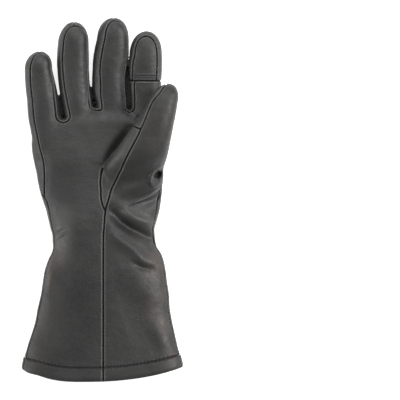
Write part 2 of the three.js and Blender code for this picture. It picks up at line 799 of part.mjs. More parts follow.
const glove = new THREE.Group();
glove.add(
  piece("palm_panel", largest(palmWhole)),
  piece("thumb_cuff_panel", largest(cuffWhole)),
  piece("thumb_gusset", largest(gussetWhole.subtract(aboveCross(-seamGap)))),
  piece("thumb_tip_inner", largest(gussetWhole.intersect(aboveCross(0)))),
  piece("index_tip_panel", largest(patchWhole)),
  piece("index_tip_side", largest(indexTipSide)),
  ...strips.map((solid, i) => piece(stripNames[i], solid)),
  piece("back_panel", largest(backWhole)),
);

// The origin is the middle of the glove's footprint, on the floor.
const reach = outer.boundingBox();
glove.position.set(-(reach.min[0] + reach.max[0]) / 2, -(reach.min[1] + reach.max[1]) / 2, 0);

export default glove;
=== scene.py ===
import math

import bmesh
import bpy
import numpy as np
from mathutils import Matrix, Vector
from mathutils.bvhtree import BVHTree
from mathutils.kdtree import KDTree


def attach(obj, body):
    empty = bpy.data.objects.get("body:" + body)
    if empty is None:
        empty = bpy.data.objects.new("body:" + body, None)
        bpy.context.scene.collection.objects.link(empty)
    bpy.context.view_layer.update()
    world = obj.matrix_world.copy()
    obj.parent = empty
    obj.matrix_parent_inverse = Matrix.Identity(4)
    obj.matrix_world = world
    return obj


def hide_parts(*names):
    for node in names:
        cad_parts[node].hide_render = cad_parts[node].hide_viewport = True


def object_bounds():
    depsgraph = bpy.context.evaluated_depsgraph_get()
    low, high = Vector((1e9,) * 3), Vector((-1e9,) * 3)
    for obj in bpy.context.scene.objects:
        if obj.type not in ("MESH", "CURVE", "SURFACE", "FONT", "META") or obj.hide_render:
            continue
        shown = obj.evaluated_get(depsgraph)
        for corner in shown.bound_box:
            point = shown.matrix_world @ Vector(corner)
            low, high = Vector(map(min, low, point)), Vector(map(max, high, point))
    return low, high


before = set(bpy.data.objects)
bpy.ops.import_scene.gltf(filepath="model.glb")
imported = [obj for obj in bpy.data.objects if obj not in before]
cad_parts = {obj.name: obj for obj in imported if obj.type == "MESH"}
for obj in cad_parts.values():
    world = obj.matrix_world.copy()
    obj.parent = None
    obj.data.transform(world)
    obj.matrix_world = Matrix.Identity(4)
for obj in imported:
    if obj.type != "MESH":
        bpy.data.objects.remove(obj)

cadLow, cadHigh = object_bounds()

# A leather gauntlet glove, palm up. The shape is worked out in millimetres from the centre seam (x = 0)
# and the wrist (y = 0), and moved into the frame when each panel's mesh is written.

gloveSizes = {
    "handWidth": 135.0,
    "palmLength": 128.5,      # wrist to the webs
    "palmDepth": 34.0,
    "webDepth": 29.0,
    "wristWidth": 102.0,
    "wristDepth": 39.0,
    "cuffWidth": 160.5,
    "cuffLength": 132.0,
    "cuffDepth": 47.0,
    "hemBow": 14.3,
    "hemLowest": -0.146,      # share of the mouth's width
    "hemPower": 2.45,
    "hemCorner": 2.2,         # the left corner hangs lower
    "cornerShares": (0.7, 0.94),
    "webBow": 26.0,
    "webRound": 16.0,
    "webPower": 1.5,
    "webHighest": 0.012,
    "sectionPower": 2.4,
    "pressed": 1.06,          # the lower half is deeper, then pressed flat
    "pastHem": 14.0,          # extra length, cut away along the hem
    "domeNarrowing": 0.06,
    "thinnestDome": 0.2,
}
fingerSizes = {"length": 87.2, "width": 34.0, "depth": 27.0, "lift": 5.0, "domePower": 2.2,
               "rootShare": 0.7, "rootWidth": 0.9, "thinnestTip": 0.1}
thumbSizes = {"length": 96.0, "width": 38.0, "depth": 30.0, "root": 0.422, "dome": 0.19,
              "tipX": 0.4822, "tipZ": 1.35}
stripWidth = 5.0
leftShare = {"hand": 0.556, "wrist": 0.496, "cuff": 0.5065}
depthShares = {"palm": (0, 0.5), "web": (0.45, 1)}    # shares of the palm's length


def table(columns, *rows):
    return {name: np.array(column, float) for name, column in zip(columns.split(), zip(*rows))}


cuffRows = table(
    "at left right",
    (0.05, 0.0, 0.03), (0.1, -0.01, 0.09), (0.136, 0.03, 0.21), (0.18, 0.13, 0.29), (0.27, 0.27, 0.38),
    (0.36, 0.33, 0.44), (0.45, 0.39, 0.5), (0.55, 0.495, 0.53), (0.64, 0.57, 0.62), (0.73, 0.69, 0.71),
    (0.82, 0.825, 0.79), (0.91, 0.935, 0.9), (1.0, 1.0, 1.0),
)
handRows = table(
    "at left right strip",
    (0.0, 0.0, 0.0, -1.2), (0.05, 0.08, -0.06, -1.2), (0.1, 0.15, 0.14, -1.2), (0.19, 0.27, 0.47, -1.2),
    (0.28, 0.44, 0.75, 0.5), (0.34, 0.52, 0.9, 1.0), (0.47, 0.67, 1.0, 1.5), (0.56, 0.74, 1.0, 1.65),
    (0.65, 0.79, 0.98, 1.35), (0.75, 0.83, 0.94, 1.15), (0.84, 0.855, 0.91, 0.98), (0.93, 0.87, 0.88, 0.88),
    (1.0, 0.885, 0.84, 0.85),
)
fingers = [
    {"name": "little", "length": 0.616, "width": 0.882, "dome": 0.3, "tipX": -0.472,
     "strip": 1, "tipStrip": 0.1,
     "rows": table("at x width", (-0.83, -0.41, 0.97), (-0.29, -0.435, 1.1), (0.065, -0.441, 1.1),
                   (0.18, -0.453, 1.05), (0.41, -0.468, 1.0), (0.7, -0.482, 0.9))},
    {"name": "ring", "length": 0.954, "width": 0.929, "dome": 0.264, "tipX": -0.2156,
     "strip": 1, "tipStrip": 0.6,
     "rows": table("at x width", (-0.47, -0.177, 0.98), (-0.13, -0.184, 1.03), (0.012, -0.19, 1.045),
                   (0.114, -0.203, 0.99), (0.258, -0.215, 0.984), (0.403, -0.223, 1.0),
                   (0.547, -0.227, 1.006), (0.736, -0.225, 0.96))},
    {"name": "middle", "length": 1.0, "width": 1.0, "dome": 0.23, "tipX": 0.0756,
     "strip": 1.5, "tipStrip": 0.4,
     "rows": table("at x width", (-0.413, 0.06, 1.0), (-0.1, 0.058, 1.03), (0.012, 0.058, 1.024),
                   (0.111, 0.047, 1.006), (0.247, 0.041, 1.009), (0.383, 0.0415, 1.0),
                   (0.522, 0.051, 1.015), (0.655, 0.061, 0.982), (0.77, 0.071, 0.935))},
    {"name": "index", "length": 0.849, "width": 0.985, "dome": 0.324, "tipX": 0.314,
     "strip": 0.9, "tipStrip": 0.8,
     "rows": table("at x width", (-0.42, 0.3156, 0.985), (-0.054, 0.3156, 0.985), (0.135, 0.3065, 1.02),
                   (0.293, 0.302, 1.02), (0.451, 0.3055, 1.025), (0.61, 0.3105, 1.0),
                   (0.676, 0.3155, 0.95))},
]
thumbRows = table(
    "at x width z depth seam",
    (-0.22, 0.185, 1.3, 0.53, 1.05, -0.4), (0.0, 0.2133, 1.65, 0.62, 1.33, -0.257),
    (0.125, 0.2207, 1.59, 0.82, 1.38, -0.188), (0.25, 0.2674, 1.447, 1.08, 1.27, -0.222),
    (0.375, 0.3111, 1.28, 1.25, 1.13, -0.248), (0.5, 0.3489, 1.13, 1.35, 1.03, -0.26),
    (0.625, 0.3896, 0.947, 1.39, 0.97, -0.322), (0.75, 0.4237, 0.82, 1.39, 0.9, -0.359),
    (0.81, 0.44, 0.753, 1.38, 0.87, -0.367),
)
wristSeam = table("at x", (0.0, 0.0), (0.136, 0.01), (0.23, 0.027), (0.284, 0.0415), (0.346, 0.056))
gussetEdge = table("at x", (0.183, 0.017), (0.222, -0.003), (0.26, -0.014), (0.307, -0.02),
                   (0.424, -0.0215), (0.478, -0.0155), (0.5175, -0.003), (0.5525, 0.019))
webSeams = [
    {"x": -0.3, "width": 0.1, "topX": -0.335, "topWidth": 0.076, "bottom": -0.127, "top": 0.17},
    {"x": -0.062, "width": 0.079, "topX": -0.0675, "topWidth": 0.085, "bottom": -0.026, "top": 0.24},
    {"x": 0.1955, "width": 0.067, "topX": 0.192, "topWidth": 0.065, "bottom": -0.045, "top": 0.3},
]
seamPlaces = {
    "indexCross": 0.338,      # share of the index finger
    "thumbCross": 0.53,       # share of the thumb
    "thumbCrossSlope": -0.446,
    "gussetFree": 0.5525,     # shares of the palm's length where the thumb leaves the hand
    "cuffFree": 0.463,
    "webDip": 4.0,            # mm
    "pastTip": 4.0,
    "overlap": 1.0,
    "creaseReach": 2.0,
}


# A line on the leather: how wide, how high or strong, and its points in millimetres
def stroke(width, amount, *path, **more):
    return {"width": width, "amount": amount, "path": path, **more}


# Palm side folds, some with a painted highlight along their crest. Those of the hand alone leave the thumb
# as it is.
folds = [
    stroke(2.3, 3.2, (60, 69.5), (56.6, 66.5), (51.6, 62.5), (47.6, 57.5), (47, 52.5), (50.6, 47.5)),
    stroke(3.3, -11.0, (56.6, 64), (54.2, 60), (52.6, 56)),
    stroke(1.1, 2.6, (58.5, 47.5), (51.6, 42.5), (46.6, 38.5), (40.6, 35.5), (34.6, 33.5),
           (26.6, 29.5), shine=0.85),
    stroke(4.5, -2.2, (58.5, 42.5), (48.6, 34.5), (38.6, 29.5)),
    stroke(4.0, 3.4, (19.6, 27.5), (24.6, 21.5), (31.6, 16.5), (50.6, 9.5)),
    stroke(5.0, -6.8, (6, 25), (12, 19.5), (18, 12.5), (26, 6.5), (36, 1.5), (50, -6.5)),
    stroke(5.5, 3.4, (5.6, 8), (8.6, 1.5), (14.6, -4.5), (21.6, -9.5), (29.6, -14.5), (38.6, -24.5),
           (55.6, -31.5)),
    stroke(3.0, -2.4, (30.6, -28.5), (38.6, -33), (48.6, -34.5)),
    stroke(2.0, -0.9, (-49.4, -2.5), (-44.4, 1.5), (-38.4, 5)),
    stroke(1.5, 1.2, (-49.4, -5.5), (-43.4, -1.5), (-38.4, 2)),
    stroke(5.0, -5.5, (27, 104), (20.6, 95), (13, 84), (7, 75), (3, 68), handOnly=True),
    stroke(3.4, -1.4, (32.6, 118.5), (38, 114)),
    stroke(13.0, 1.8, (26.6, -35.5), (40, -52), (60, -66)),
    stroke(9.0, 1.6, (46, -86), (60, -104), (72, -118)),
    stroke(12.0, -1.4, (20, -50), (34, -84), (50, -114)),
    stroke(4.5, 1.8, (-50, -12), (-53, -34), (-58, -60)),
    stroke(10.0, -1.0, (-40, -20), (-44, -60), (-52, -96)),
    stroke(14.0, 1.0, (-30, 60), (-34, 20), (-30, -20)),
    stroke(5.0, -1.6, (12, 44), (20, 52), (34, 54)),
    stroke(4.5, 1.4, (26, 43), (38, 49), (46, 50)),
]
# The hollow between two fingers, from the bottom of the palm's U seam to where the fingers part:
# half the width of its dark slit and of the gentle dip around it, at its bottom and top
hollows = [
    {"path": [(-40.2, 118), (-41.5, 122), (-43.6, 134), (-44.9, 143)],
     "wide": (2.1, 0.9), "dip": (6.0, 3.2)},
    {"path": [(-9.1, 129.5), (-9.6, 133), (-11.8, 141), (-13.0, 150)],
     "wide": (2.0, 0.9), "dip": (4.6, 2.6)},
    {"path": [(25.5, 128), (25.2, 134), (24.4, 146), (24.2, 160), (25.0, 172)],
     "wide": (1.8, 1.1), "dip": (4.6, 2.8)},
]
hollowDepth = {
    "steep": 18.0,
    "slitWall": 0.8,
    "gentle": 1.8,
    "lowest": 4.0,
    "fade": 0.3,              # share of the path over which it ends
    "above": (8, 15),         # heights over which the hollow sets in
}
foldEnd = 0.04
foldFacing = (0.1, 0.6)       # folds set in where the skin faces up by this much
cuffSagging = {"depth": 4.5, "from": -10, "facing": (0.1, 0.8)}


def mix(a, b, share):
    return a + (b - a) * share


def clampShare(value, low, high):
    return np.clip((value - low) / (high - low), 0.0, 1.0)


def smoothShare(value, low, high):
    share = clampShare(value, low, high)
    return share * share * (3 - 2 * share)


# 1 where the distance is 0, and falling to nothing past twice the width
def bell(distance, width):
    return np.exp(-(distance / width) ** 2)


# A column's value along a smooth curve through a table's rows
def curveAt(rows, column, at, key="at"):
    places, values = rows[key], rows[column]
    at = np.clip(np.asarray(at, float), places[0], places[-1])
    i = np.clip(np.searchsorted(places, at, side="right") - 1, 0, len(places) - 2)
    low = np.maximum(np.arange(len(places)) - 1, 0)
    high = np.minimum(np.arange(len(places)) + 1, len(places) - 1)
    slope = (values[high] - values[low]) / (places[high] - places[low])
    step = places[i + 1] - places[i]
    t = (at - places[i]) / step
    return (values[i] * (1 + 2 * t) * (1 - t) ** 2 + slope[i] * step * t * (1 - t) ** 2
            + values[i + 1] * t * t * (3 - 2 * t) + slope[i + 1] * step * t * t * (t - 1))


def halfWidths(name, width):
    return width * leftShare[name], width * (1 - leftShare[name])


handHalf = halfWidths("hand", gloveSizes["handWidth"])
wristHalf = halfWidths("wrist", gloveSizes["wristWidth"])
cuffHalf = halfWidths("cuff", gloveSizes["cuffWidth"])
handWidth = gloveSizes["handWidth"]
palmLength, cuffLength = gloveSizes["palmLength"], gloveSizes["cuffLength"]
wristDepth, palmDepth = gloveSizes["wristDepth"], gloveSizes["palmDepth"]


# Half widths on both sides between the wrist's and those of the hand or the cuff
def sideWidths(half, left, right):
    return mix(wristHalf[0], half[0], left), mix(wristHalf[1], half[1], right)


def bodyTable():
    rows = []
    for at, left, right in zip(cuffRows["at"], cuffRows["left"], cuffRows["right"]):
        depth = mix(wristDepth, gloveSizes["cuffDepth"], at)
        rows.append((-at * cuffLength, *sideWidths(cuffHalf, left, right), depth))
    for at, left, right in zip(handRows["at"], handRows["left"], handRows["right"]):
        depth = mix(wristDepth, palmDepth, smoothShare(at, *depthShares["palm"]))
        depth = mix(depth, gloveSizes["webDepth"], smoothShare(at, *depthShares["web"]))
        rows.append((at * palmLength, *sideWidths(handHalf, left, right), depth))
    return table("y left right depth", *sorted(rows))


bodyRows = bodyTable()


# All forms are made a little slimmer, so that narrow gaps between the fingers stay open, and the skin
# is filled out again later
slimmer = 0.8
thinnest = 0.3
domeEnd = 0.985               # a dome stops just short of its pole


# A ring round at its sides and pressed flat where it lies on the floor
def ringOf(sides, x, y, z, across, up):
    angle = 2 * np.pi * np.arange(sides) / sides
    power = 2 / gloveSizes["sectionPower"]
    c = np.sign(np.cos(angle)) * np.abs(np.cos(angle)) ** power
    s = np.sign(np.sin(angle)) * np.abs(np.sin(angle)) ** power
    width = np.maximum(np.where(c < 0, across[0], across[1]) - slimmer, thinnest)
    height = np.maximum(np.where(s < 0, up * gloveSizes["pressed"], up) - slimmer, thinnest)
    return np.stack([x + width * c, np.full(sides, y), np.maximum(slimmer, z + height * s)], 1)


def hemDrop(x):
    middle = gloveSizes["hemLowest"] * gloveSizes["cuffWidth"]
    end = np.where(x < middle, -cuffHalf[0], cuffHalf[1])
    side = np.minimum(1, (x - middle) / (end - middle))
    corner = gloveSizes["hemCorner"] * smoothShare(side, *gloveSizes["cornerShares"])
    corner = np.where(x < middle, corner, 0)
    return gloveSizes["hemBow"] * (1 - np.abs(side) ** gloveSizes["hemPower"]) + corner


def hemLine(x):
    return -cuffLength - hemDrop(x)


def bent(ring, y):
    middle = gloveSizes["webHighest"] * handWidth
    side = np.abs(ring[:, 0] - middle) / (handHalf[0] - middle)
    bow = gloveSizes["webBow"] * side ** gloveSizes["webPower"]
    ring[:, 1] -= hemDrop(ring[:, 0]) * clampShare(y, 0, -cuffLength) ** 2
    ring[:, 1] -= bow * clampShare(y, palmLength / 2, palmLength)
    return ring


def bodyRings(sides=72, stations=96, domeSteps=10):
    top = palmLength - gloveSizes["webRound"]
    rings = []

    def addRing(y, shrink, at):
        depth = curveAt(bodyRows, "depth", y, "y")
        narrow = 1 - gloveSizes["domeNarrowing"] * (1 - shrink)
        across = [curveAt(bodyRows, side, y, "y") * narrow for side in ("left", "right")]
        up = depth / 2 * max(shrink, gloveSizes["thinnestDome"])
        rings.append(bent(ringOf(sides, 0, at, depth / 2, across, up), y))

    addRing(-cuffLength, 1, -cuffLength - gloveSizes["pastHem"])
    for y in np.linspace(-cuffLength, top, stations):
        addRing(y, 1, y)
    for step in range(1, domeSteps + 1):
        share = math.sin(math.pi / 2 * step / domeSteps)
        addRing(top, math.sqrt(1 - share * share), top + gloveSizes["webRound"] * share)
    return np.array(rings)


def fingerLength(finger):
    return fingerSizes["length"] * finger["length"]


def fingerPlace(finger, at):
    width = fingerSizes["width"] * finger["width"]
    over = clampShare(at, 1 - finger["dome"], 1)
    first = finger["rows"]["at"][0]
    root = clampShare(at, 0, first)
    x = handWidth * mix(curveAt(finger["rows"], "x", at), finger["tipX"], over)
    across = width / 2 * curveAt(finger["rows"], "width", at) * mix(1, fingerSizes["rootWidth"], root)
    power = fingerSizes["domePower"]
    lifted = fingerSizes["depth"] / 2 + fingerSizes["lift"] * np.maximum(0, at) ** 2
    z = mix(lifted, palmDepth / 2, root)
    return {"x": x, "across": across, "round": (1 - over ** power) ** (1 / power), "z": z,
            "up": fingerSizes["depth"] / 2 * mix(1, fingerSizes["rootShare"], root), "over": over}


def domedShares(first, dome, steps, domeSteps=12):
    straight = np.linspace(first, 1 - dome, steps)
    curved = mix(1 - dome, 1, np.sin(np.pi / 2 * np.arange(1, domeSteps + 1) / domeSteps * domeEnd))
    return np.concatenate([straight, curved])


def fingerRings(finger, sides=40):
    rings = []
    for at in domedShares(finger["rows"]["at"][0], finger["dome"], 44):
        p = fingerPlace(finger, at)
        y = palmLength + fingerLength(finger) * at
        across = p["across"] * p["round"]
        up = p["up"] * max(p["round"], fingerSizes["thinnestTip"])
        rings.append(ringOf(sides, p["x"], y, p["z"], (across, across), up))
    return np.array(rings)


def thumbPlace(at):
    over = clampShare(at, 1 - thumbSizes["dome"], 1)
    width = thumbSizes["width"] * curveAt(thumbRows, "width", at)
    return {
        "x": handWidth * mix(curveAt(thumbRows, "x", at), thumbSizes["tipX"], over),
        "y": palmLength * thumbSizes["root"] + thumbSizes["length"] * at,
        "z": palmDepth * mix(curveAt(thumbRows, "z", at), thumbSizes["tipZ"], over),
        "across": width / 2,
        "up": thumbSizes["depth"] / 2 * curveAt(thumbRows, "depth", at),
        "round": np.sqrt(1 - over * over),
        "seam": width * curveAt(thumbRows, "seam", at),
    }


def thumbRings(sides=48):
    rings = []
    for at in domedShares(thumbRows["at"][0], thumbSizes["dome"], 40):
        p = thumbPlace(at)
        across = p["across"] * p["round"]
        rings.append(ringOf(sides, p["x"], p["y"], p["z"], (across, across), p["up"] * p["round"]))
    return np.array(rings)


def loftFaces(rings):
    count, sides = rings.shape[:2]
    i = np.arange(sides)
    j = (i + 1) % sides
    faces = []
    for r in range(count - 1):
        a = r * sides
        faces += np.stack([a + i, a + sides + i, a + sides + j, a + j], 1).tolist()
    faces.append(i.tolist())
    faces.append(((count - 1) * sides + i[::-1]).tolist())
    return rings.reshape(-1, 3), faces


def joined(lofts):
    points, faces, start = [], [], 0
    for p, f in lofts:
        points.append(p)
        faces += [[start + k for k in face] for face in f]
        start += len(p)
    return np.concatenate(points), faces


def surfaceTree(points, faces):
    return BVHTree.FromPolygons([Vector(p) for p in points], faces)


handLofts = [loftFaces(bodyRings())] + [loftFaces(fingerRings(finger)) for finger in fingers]
thumbLoft = loftFaces(thumbRings())
handTree = surfaceTree(*joined(handLofts))
thumbTree = surfaceTree(*thumbLoft)
print("stage: forms of the hand, fingers and thumb")

skinSettings = {
    "voxel": 1.25,            # mm
    "fineBand": 2.7,          # mm on both sides of a seam that get smaller faces
    "lowBand": 1.9,           # the same on the lower half
    "smoothing": 5,
    "rootSmoothing": 26,
    "filledOut": 0.45,
    "sharpFold": 4.0,         # folds narrower than this get smaller faces too
    "pull": 0.5,              # how far one smoothing step moves a point to its neighbours' middle
}
# Where the fingers and the thumb run into the palm
rootBlend = {
    "below": (44, 26),        # mm towards the wrist from where the fingers part
    "past": (8, 24),          # mm towards the fingertips
    "facing": (0.5, 0.85),
    "nearThumb": 5.0,
    "thumbHigh": (56, 70),    # mm up from the wrist
    "above": (12, 20),        # mm over the floor
}


def addObject(name, data):
    obj = bpy.data.objects.new(name, data)
    bpy.context.scene.collection.objects.link(obj)
    return obj


# The mesh that an object's modifiers make of it; the object is deleted
def madeMesh(obj):
    depsgraph = bpy.context.evaluated_depsgraph_get()
    result = bpy.data.meshes.new_from_object(obj.evaluated_get(depsgraph), depsgraph=depsgraph)
    bpy.data.objects.remove(obj)
    return result


def remeshed(points, faces, voxel):
    mesh = bpy.data.meshes.new("forms")
    mesh.from_pydata(points.tolist(), [], faces)
    forms = addObject("forms", mesh)
    modifier = forms.modifiers.new("remesh", "REMESH")
    modifier.mode = "VOXEL"
    modifier.voxel_size = voxel
    result = madeMesh(forms)
    bpy.data.meshes.remove(mesh)
    return result


def meshValues(items, key, width, kind=float):
    flat = np.empty(len(items) * width, kind)
    items.foreach_get(key, flat)
    return flat.reshape(-1, width)


def setPoints(mesh, points):
    mesh.vertices.foreach_set("co", points.ravel())
    mesh.update()


def neighbourMean(points, edges):
    count = len(points)
    a, b = edges[:, 0], edges[:, 1]
    total = np.bincount(a, minlength=count) + np.bincount(b, minlength=count)
    mean = np.empty_like(points)
    for k in range(points.shape[1]):
        mean[:, k] = np.bincount(a, points[b, k], count) + np.bincount(b, points[a, k], count)
    return mean / np.maximum(total, 1)[:, None]


def relaxed(points, edges, weight, steps):
    for _ in range(steps):
        points = points + (neighbourMean(points, edges) - points) * weight[:, None]
    return points


def treeDistance(tree, points):
    return np.array([tree.find_nearest(Vector(p))[3] for p in points])


def pointDistance(tree, points):
    return np.array([tree.find(Vector(p))[2] for p in points])


# Whether points lie closer to a broken line than the given reach
def nearLine(points, path, reach):
    return lineDistance(points[:, 0], points[:, 1], path)[0] < reach


# Distance from points to a broken line in X and Y, and how far along it they lie, as a share
def lineDistance(x, y, path):
    best = np.full(len(x), 1e9)
    along = np.zeros(len(x))
    lengths = [math.dist(path[k], path[k + 1]) for k in range(len(path) - 1)]
    total, gone = sum(lengths), 0.0
    for k, length in enumerate(lengths):
        (ax, ay), (bx, by) = path[k], path[k + 1]
        t = np.clip(((x - ax) * (bx - ax) + (y - ay) * (by - ay)) / length ** 2, 0, 1)
        d = np.hypot(x - mix(ax, bx, t), y - mix(ay, by, t))
        nearer = d < best
        along = np.where(nearer, (gone + t * length) / total, along)
        best = np.minimum(best, d)
        gone += length
    return best, along


# Soft unevenness of handled leather: a few waves in random directions
def waves(points, length, count, seed):
    random = np.random.default_rng(seed)
    height = np.zeros(len(points))
    for _ in range(count):
        direction = random.normal(size=3)
        direction /= np.linalg.norm(direction)
        phase = random.uniform(0, 2 * np.pi)
        bend = random.normal(size=3) / (3 * length)
        height += np.sin(points @ direction * 2 * np.pi / (length * random.uniform(0.7, 1.4)) + phase
                         + 1.5 * np.sin(points @ bend * 2 * np.pi))
    return height / math.sqrt(count)


def foldedHeights(points, normals, onHand):
    x, y = points[:, 0], points[:, 1]
    rise = np.zeros(len(points))
    for fold in folds:
        distance, along = lineDistance(x, y, fold["path"])
        fade = np.sin(np.pi * np.clip(along, foldEnd, 1 - foldEnd)) ** 0.5
        height = fold["amount"] * fade * bell(distance, fold["width"])
        rise += np.where(onHand, height, 0) if fold.get("handOnly") else height
    rise *= smoothShare(normals[:, 2], *foldFacing)
    for hollow in hollows:
        distance, along = lineDistance(x, y, hollow["path"])
        steep = smoothShare(1 - distance / mix(*hollow["wide"], along), 0, hollowDepth["slitWall"])
        gentle = smoothShare(1 - distance / mix(*hollow["dip"], along), 0, 1)
        depth = hollowDepth["steep"] * steep + hollowDepth["gentle"] * gentle
        depth = depth * smoothShare(1 - along, 0, hollowDepth["fade"])
        room = np.maximum(points[:, 2] - hollowDepth["lowest"], 0)
        rise -= np.minimum(depth, room) * smoothShare(points[:, 2], *hollowDepth["above"])
    return rise


# An empty cuff sags a little towards its mouth
def cuffSag(points, normals):
    middle = 1 - clampShare(np.abs(points[:, 0]) / cuffHalf[0], 0.0, 1.0) ** 2
    nearMouth = smoothShare(points[:, 1], cuffSagging["from"], -cuffLength)
    return -cuffSagging["depth"] * middle * nearMouth * smoothShare(normals[:, 2], *cuffSagging["facing"])


def insideOutline(x, y, outline):
    inside = np.zeros(len(x), bool)
    for (ax, ay), (bx, by) in zip(outline, np.roll(outline, -1, axis=0)):
        if ay != by:
            inside ^= ((ay > y) != (by > y)) & (x < (bx - ax) * (y - ay) / (by - ay) + ax)
    return inside


def webOutline(web):
    radius = web["width"] * handWidth / 2
    bottom = palmLength * (1 + web["bottom"])
    angle = np.pi * (1 + np.linspace(0, 1, 17))
    curveX = web["x"] * handWidth + radius * np.cos(angle)
    curve = np.stack([curveX, bottom + radius + radius * np.sin(angle)], 1)
    top = palmLength * (1 + web["top"])
    ends = [(handWidth * (web["topX"] + side * web["topWidth"] / 2), top) for side in (1, -1)]
    return np.concatenate([curve, ends])


whole = remeshed(*joined(handLofts + [thumbLoft]), skinSettings["voxel"])
points = meshValues(whole.vertices, "co", 3)
edges = meshValues(whole.edges, "vertices", 2, np.int32)
pull = skinSettings["pull"]
points = relaxed(points, edges, np.full(len(points), pull), skinSettings["smoothing"])
setPoints(whole, points)
points += meshValues(whole.vertex_normals, "vector", 3) * (slimmer + skinSettings["filledOut"])
setPoints(whole, points)
normals = meshValues(whole.vertex_normals, "vector", 3)

# The finger roots and the thumb's root run into the palm without a step
fromWebs = points[:, 1] - palmLength
rootWeight = pull * smoothShare(fromWebs, -rootBlend["below"][0], -rootBlend["below"][1])
rootWeight *= 1 - smoothShare(fromWebs, *rootBlend["past"])
rootWeight *= smoothShare(np.abs(normals[:, 2]), *rootBlend["facing"])
nearHand, nearThumb = treeDistance(handTree, points), treeDistance(thumbTree, points)
thumbWeight = pull * bell(nearHand - nearThumb, rootBlend["nearThumb"])
thumbWeight *= 1 - smoothShare(points[:, 1], *rootBlend["thumbHigh"])
thumbWeight *= smoothShare(points[:, 2], *rootBlend["above"])
points = relaxed(points, edges, np.maximum(rootWeight, thumbWeight), skinSettings["rootSmoothing"])
setPoints(whole, points)
print("stage: one skin,", len(points), "points")


# The skin is opened along the hem: with the hem's curve taken out it is a plane
skin = bmesh.new()
skin.from_mesh(whole)
for vertex in skin.verts:
    vertex.co.y -= float(hemLine(vertex.co.x))
bmesh.ops.bisect_plane(skin, geom=skin.verts[:] + skin.edges[:] + skin.faces[:], plane_co=(0, 0, 0),
                       plane_no=(0, 1, 0), clear_inner=True)
for vertex in skin.verts:
    vertex.co.y += float(hemLine(vertex.co.x))
bpy.data.meshes.remove(whole)

# Panels

stripNames = ["little_side_strip", "fourchette_ring_little", "fourchette_middle_ring",
              "fourchette_index_middle", "index_side_strip"]
pieceNames = ["palm_panel", "thumb_cuff_panel", "thumb_gusset", "thumb_tip_inner", "index_tip_panel",
              "index_tip_side", *stripNames, "back_panel"]
number = {name: k for k, name in enumerate(pieceNames)}
seamHeights = table(
    "y palm back",
    (-cuffLength, 29.6, 29.6), (0.0, 26.0, 26.0), (0.26 * palmLength, 26.4, 26.4),
    (0.5 * palmLength, 21.1, 8.8), (palmLength, 21.1, 8.8), (palmLength + 91.2, 23.2, 11.3),
)


def fingerOutline(finger, left, right, tip):
    shares = domedShares(finger["rows"]["at"][0], finger["dome"], 40)
    place = fingerPlace(finger, shares)
    y = palmLength + fingerLength(finger) * shares - tip * place["over"]
    leftX = place["x"] - (place["across"] - left) * place["round"]
    rightX = place["x"] + (place["across"] - right) * place["round"]
    return np.concatenate([np.stack([rightX, y], 1), np.stack([leftX, y], 1)[::-1]])


farAway = 400.0               # mm, past both ends of the glove


def mainSeamX(y):
    shares = np.linspace(0, 1 - thumbSizes["dome"], 30)
    place = thumbPlace(shares)
    tip = thumbPlace(np.array([1.0]))
    wristY, wristX = wristSeam["at"] * palmLength, wristSeam["x"] * handWidth
    seamY = np.concatenate([[-farAway], wristY, place["y"], tip["y"] + seamPlaces["pastTip"]])
    seamX = np.concatenate([[0.0], wristX, place["x"] + place["seam"], tip["x"]])
    return np.interp(y, seamY, seamX)


fingerNamed = {finger["name"]: finger for finger in fingers}
index = fingerNamed["index"]
indexSeamY = palmLength + fingerLength(index) * seamPlaces["indexCross"]


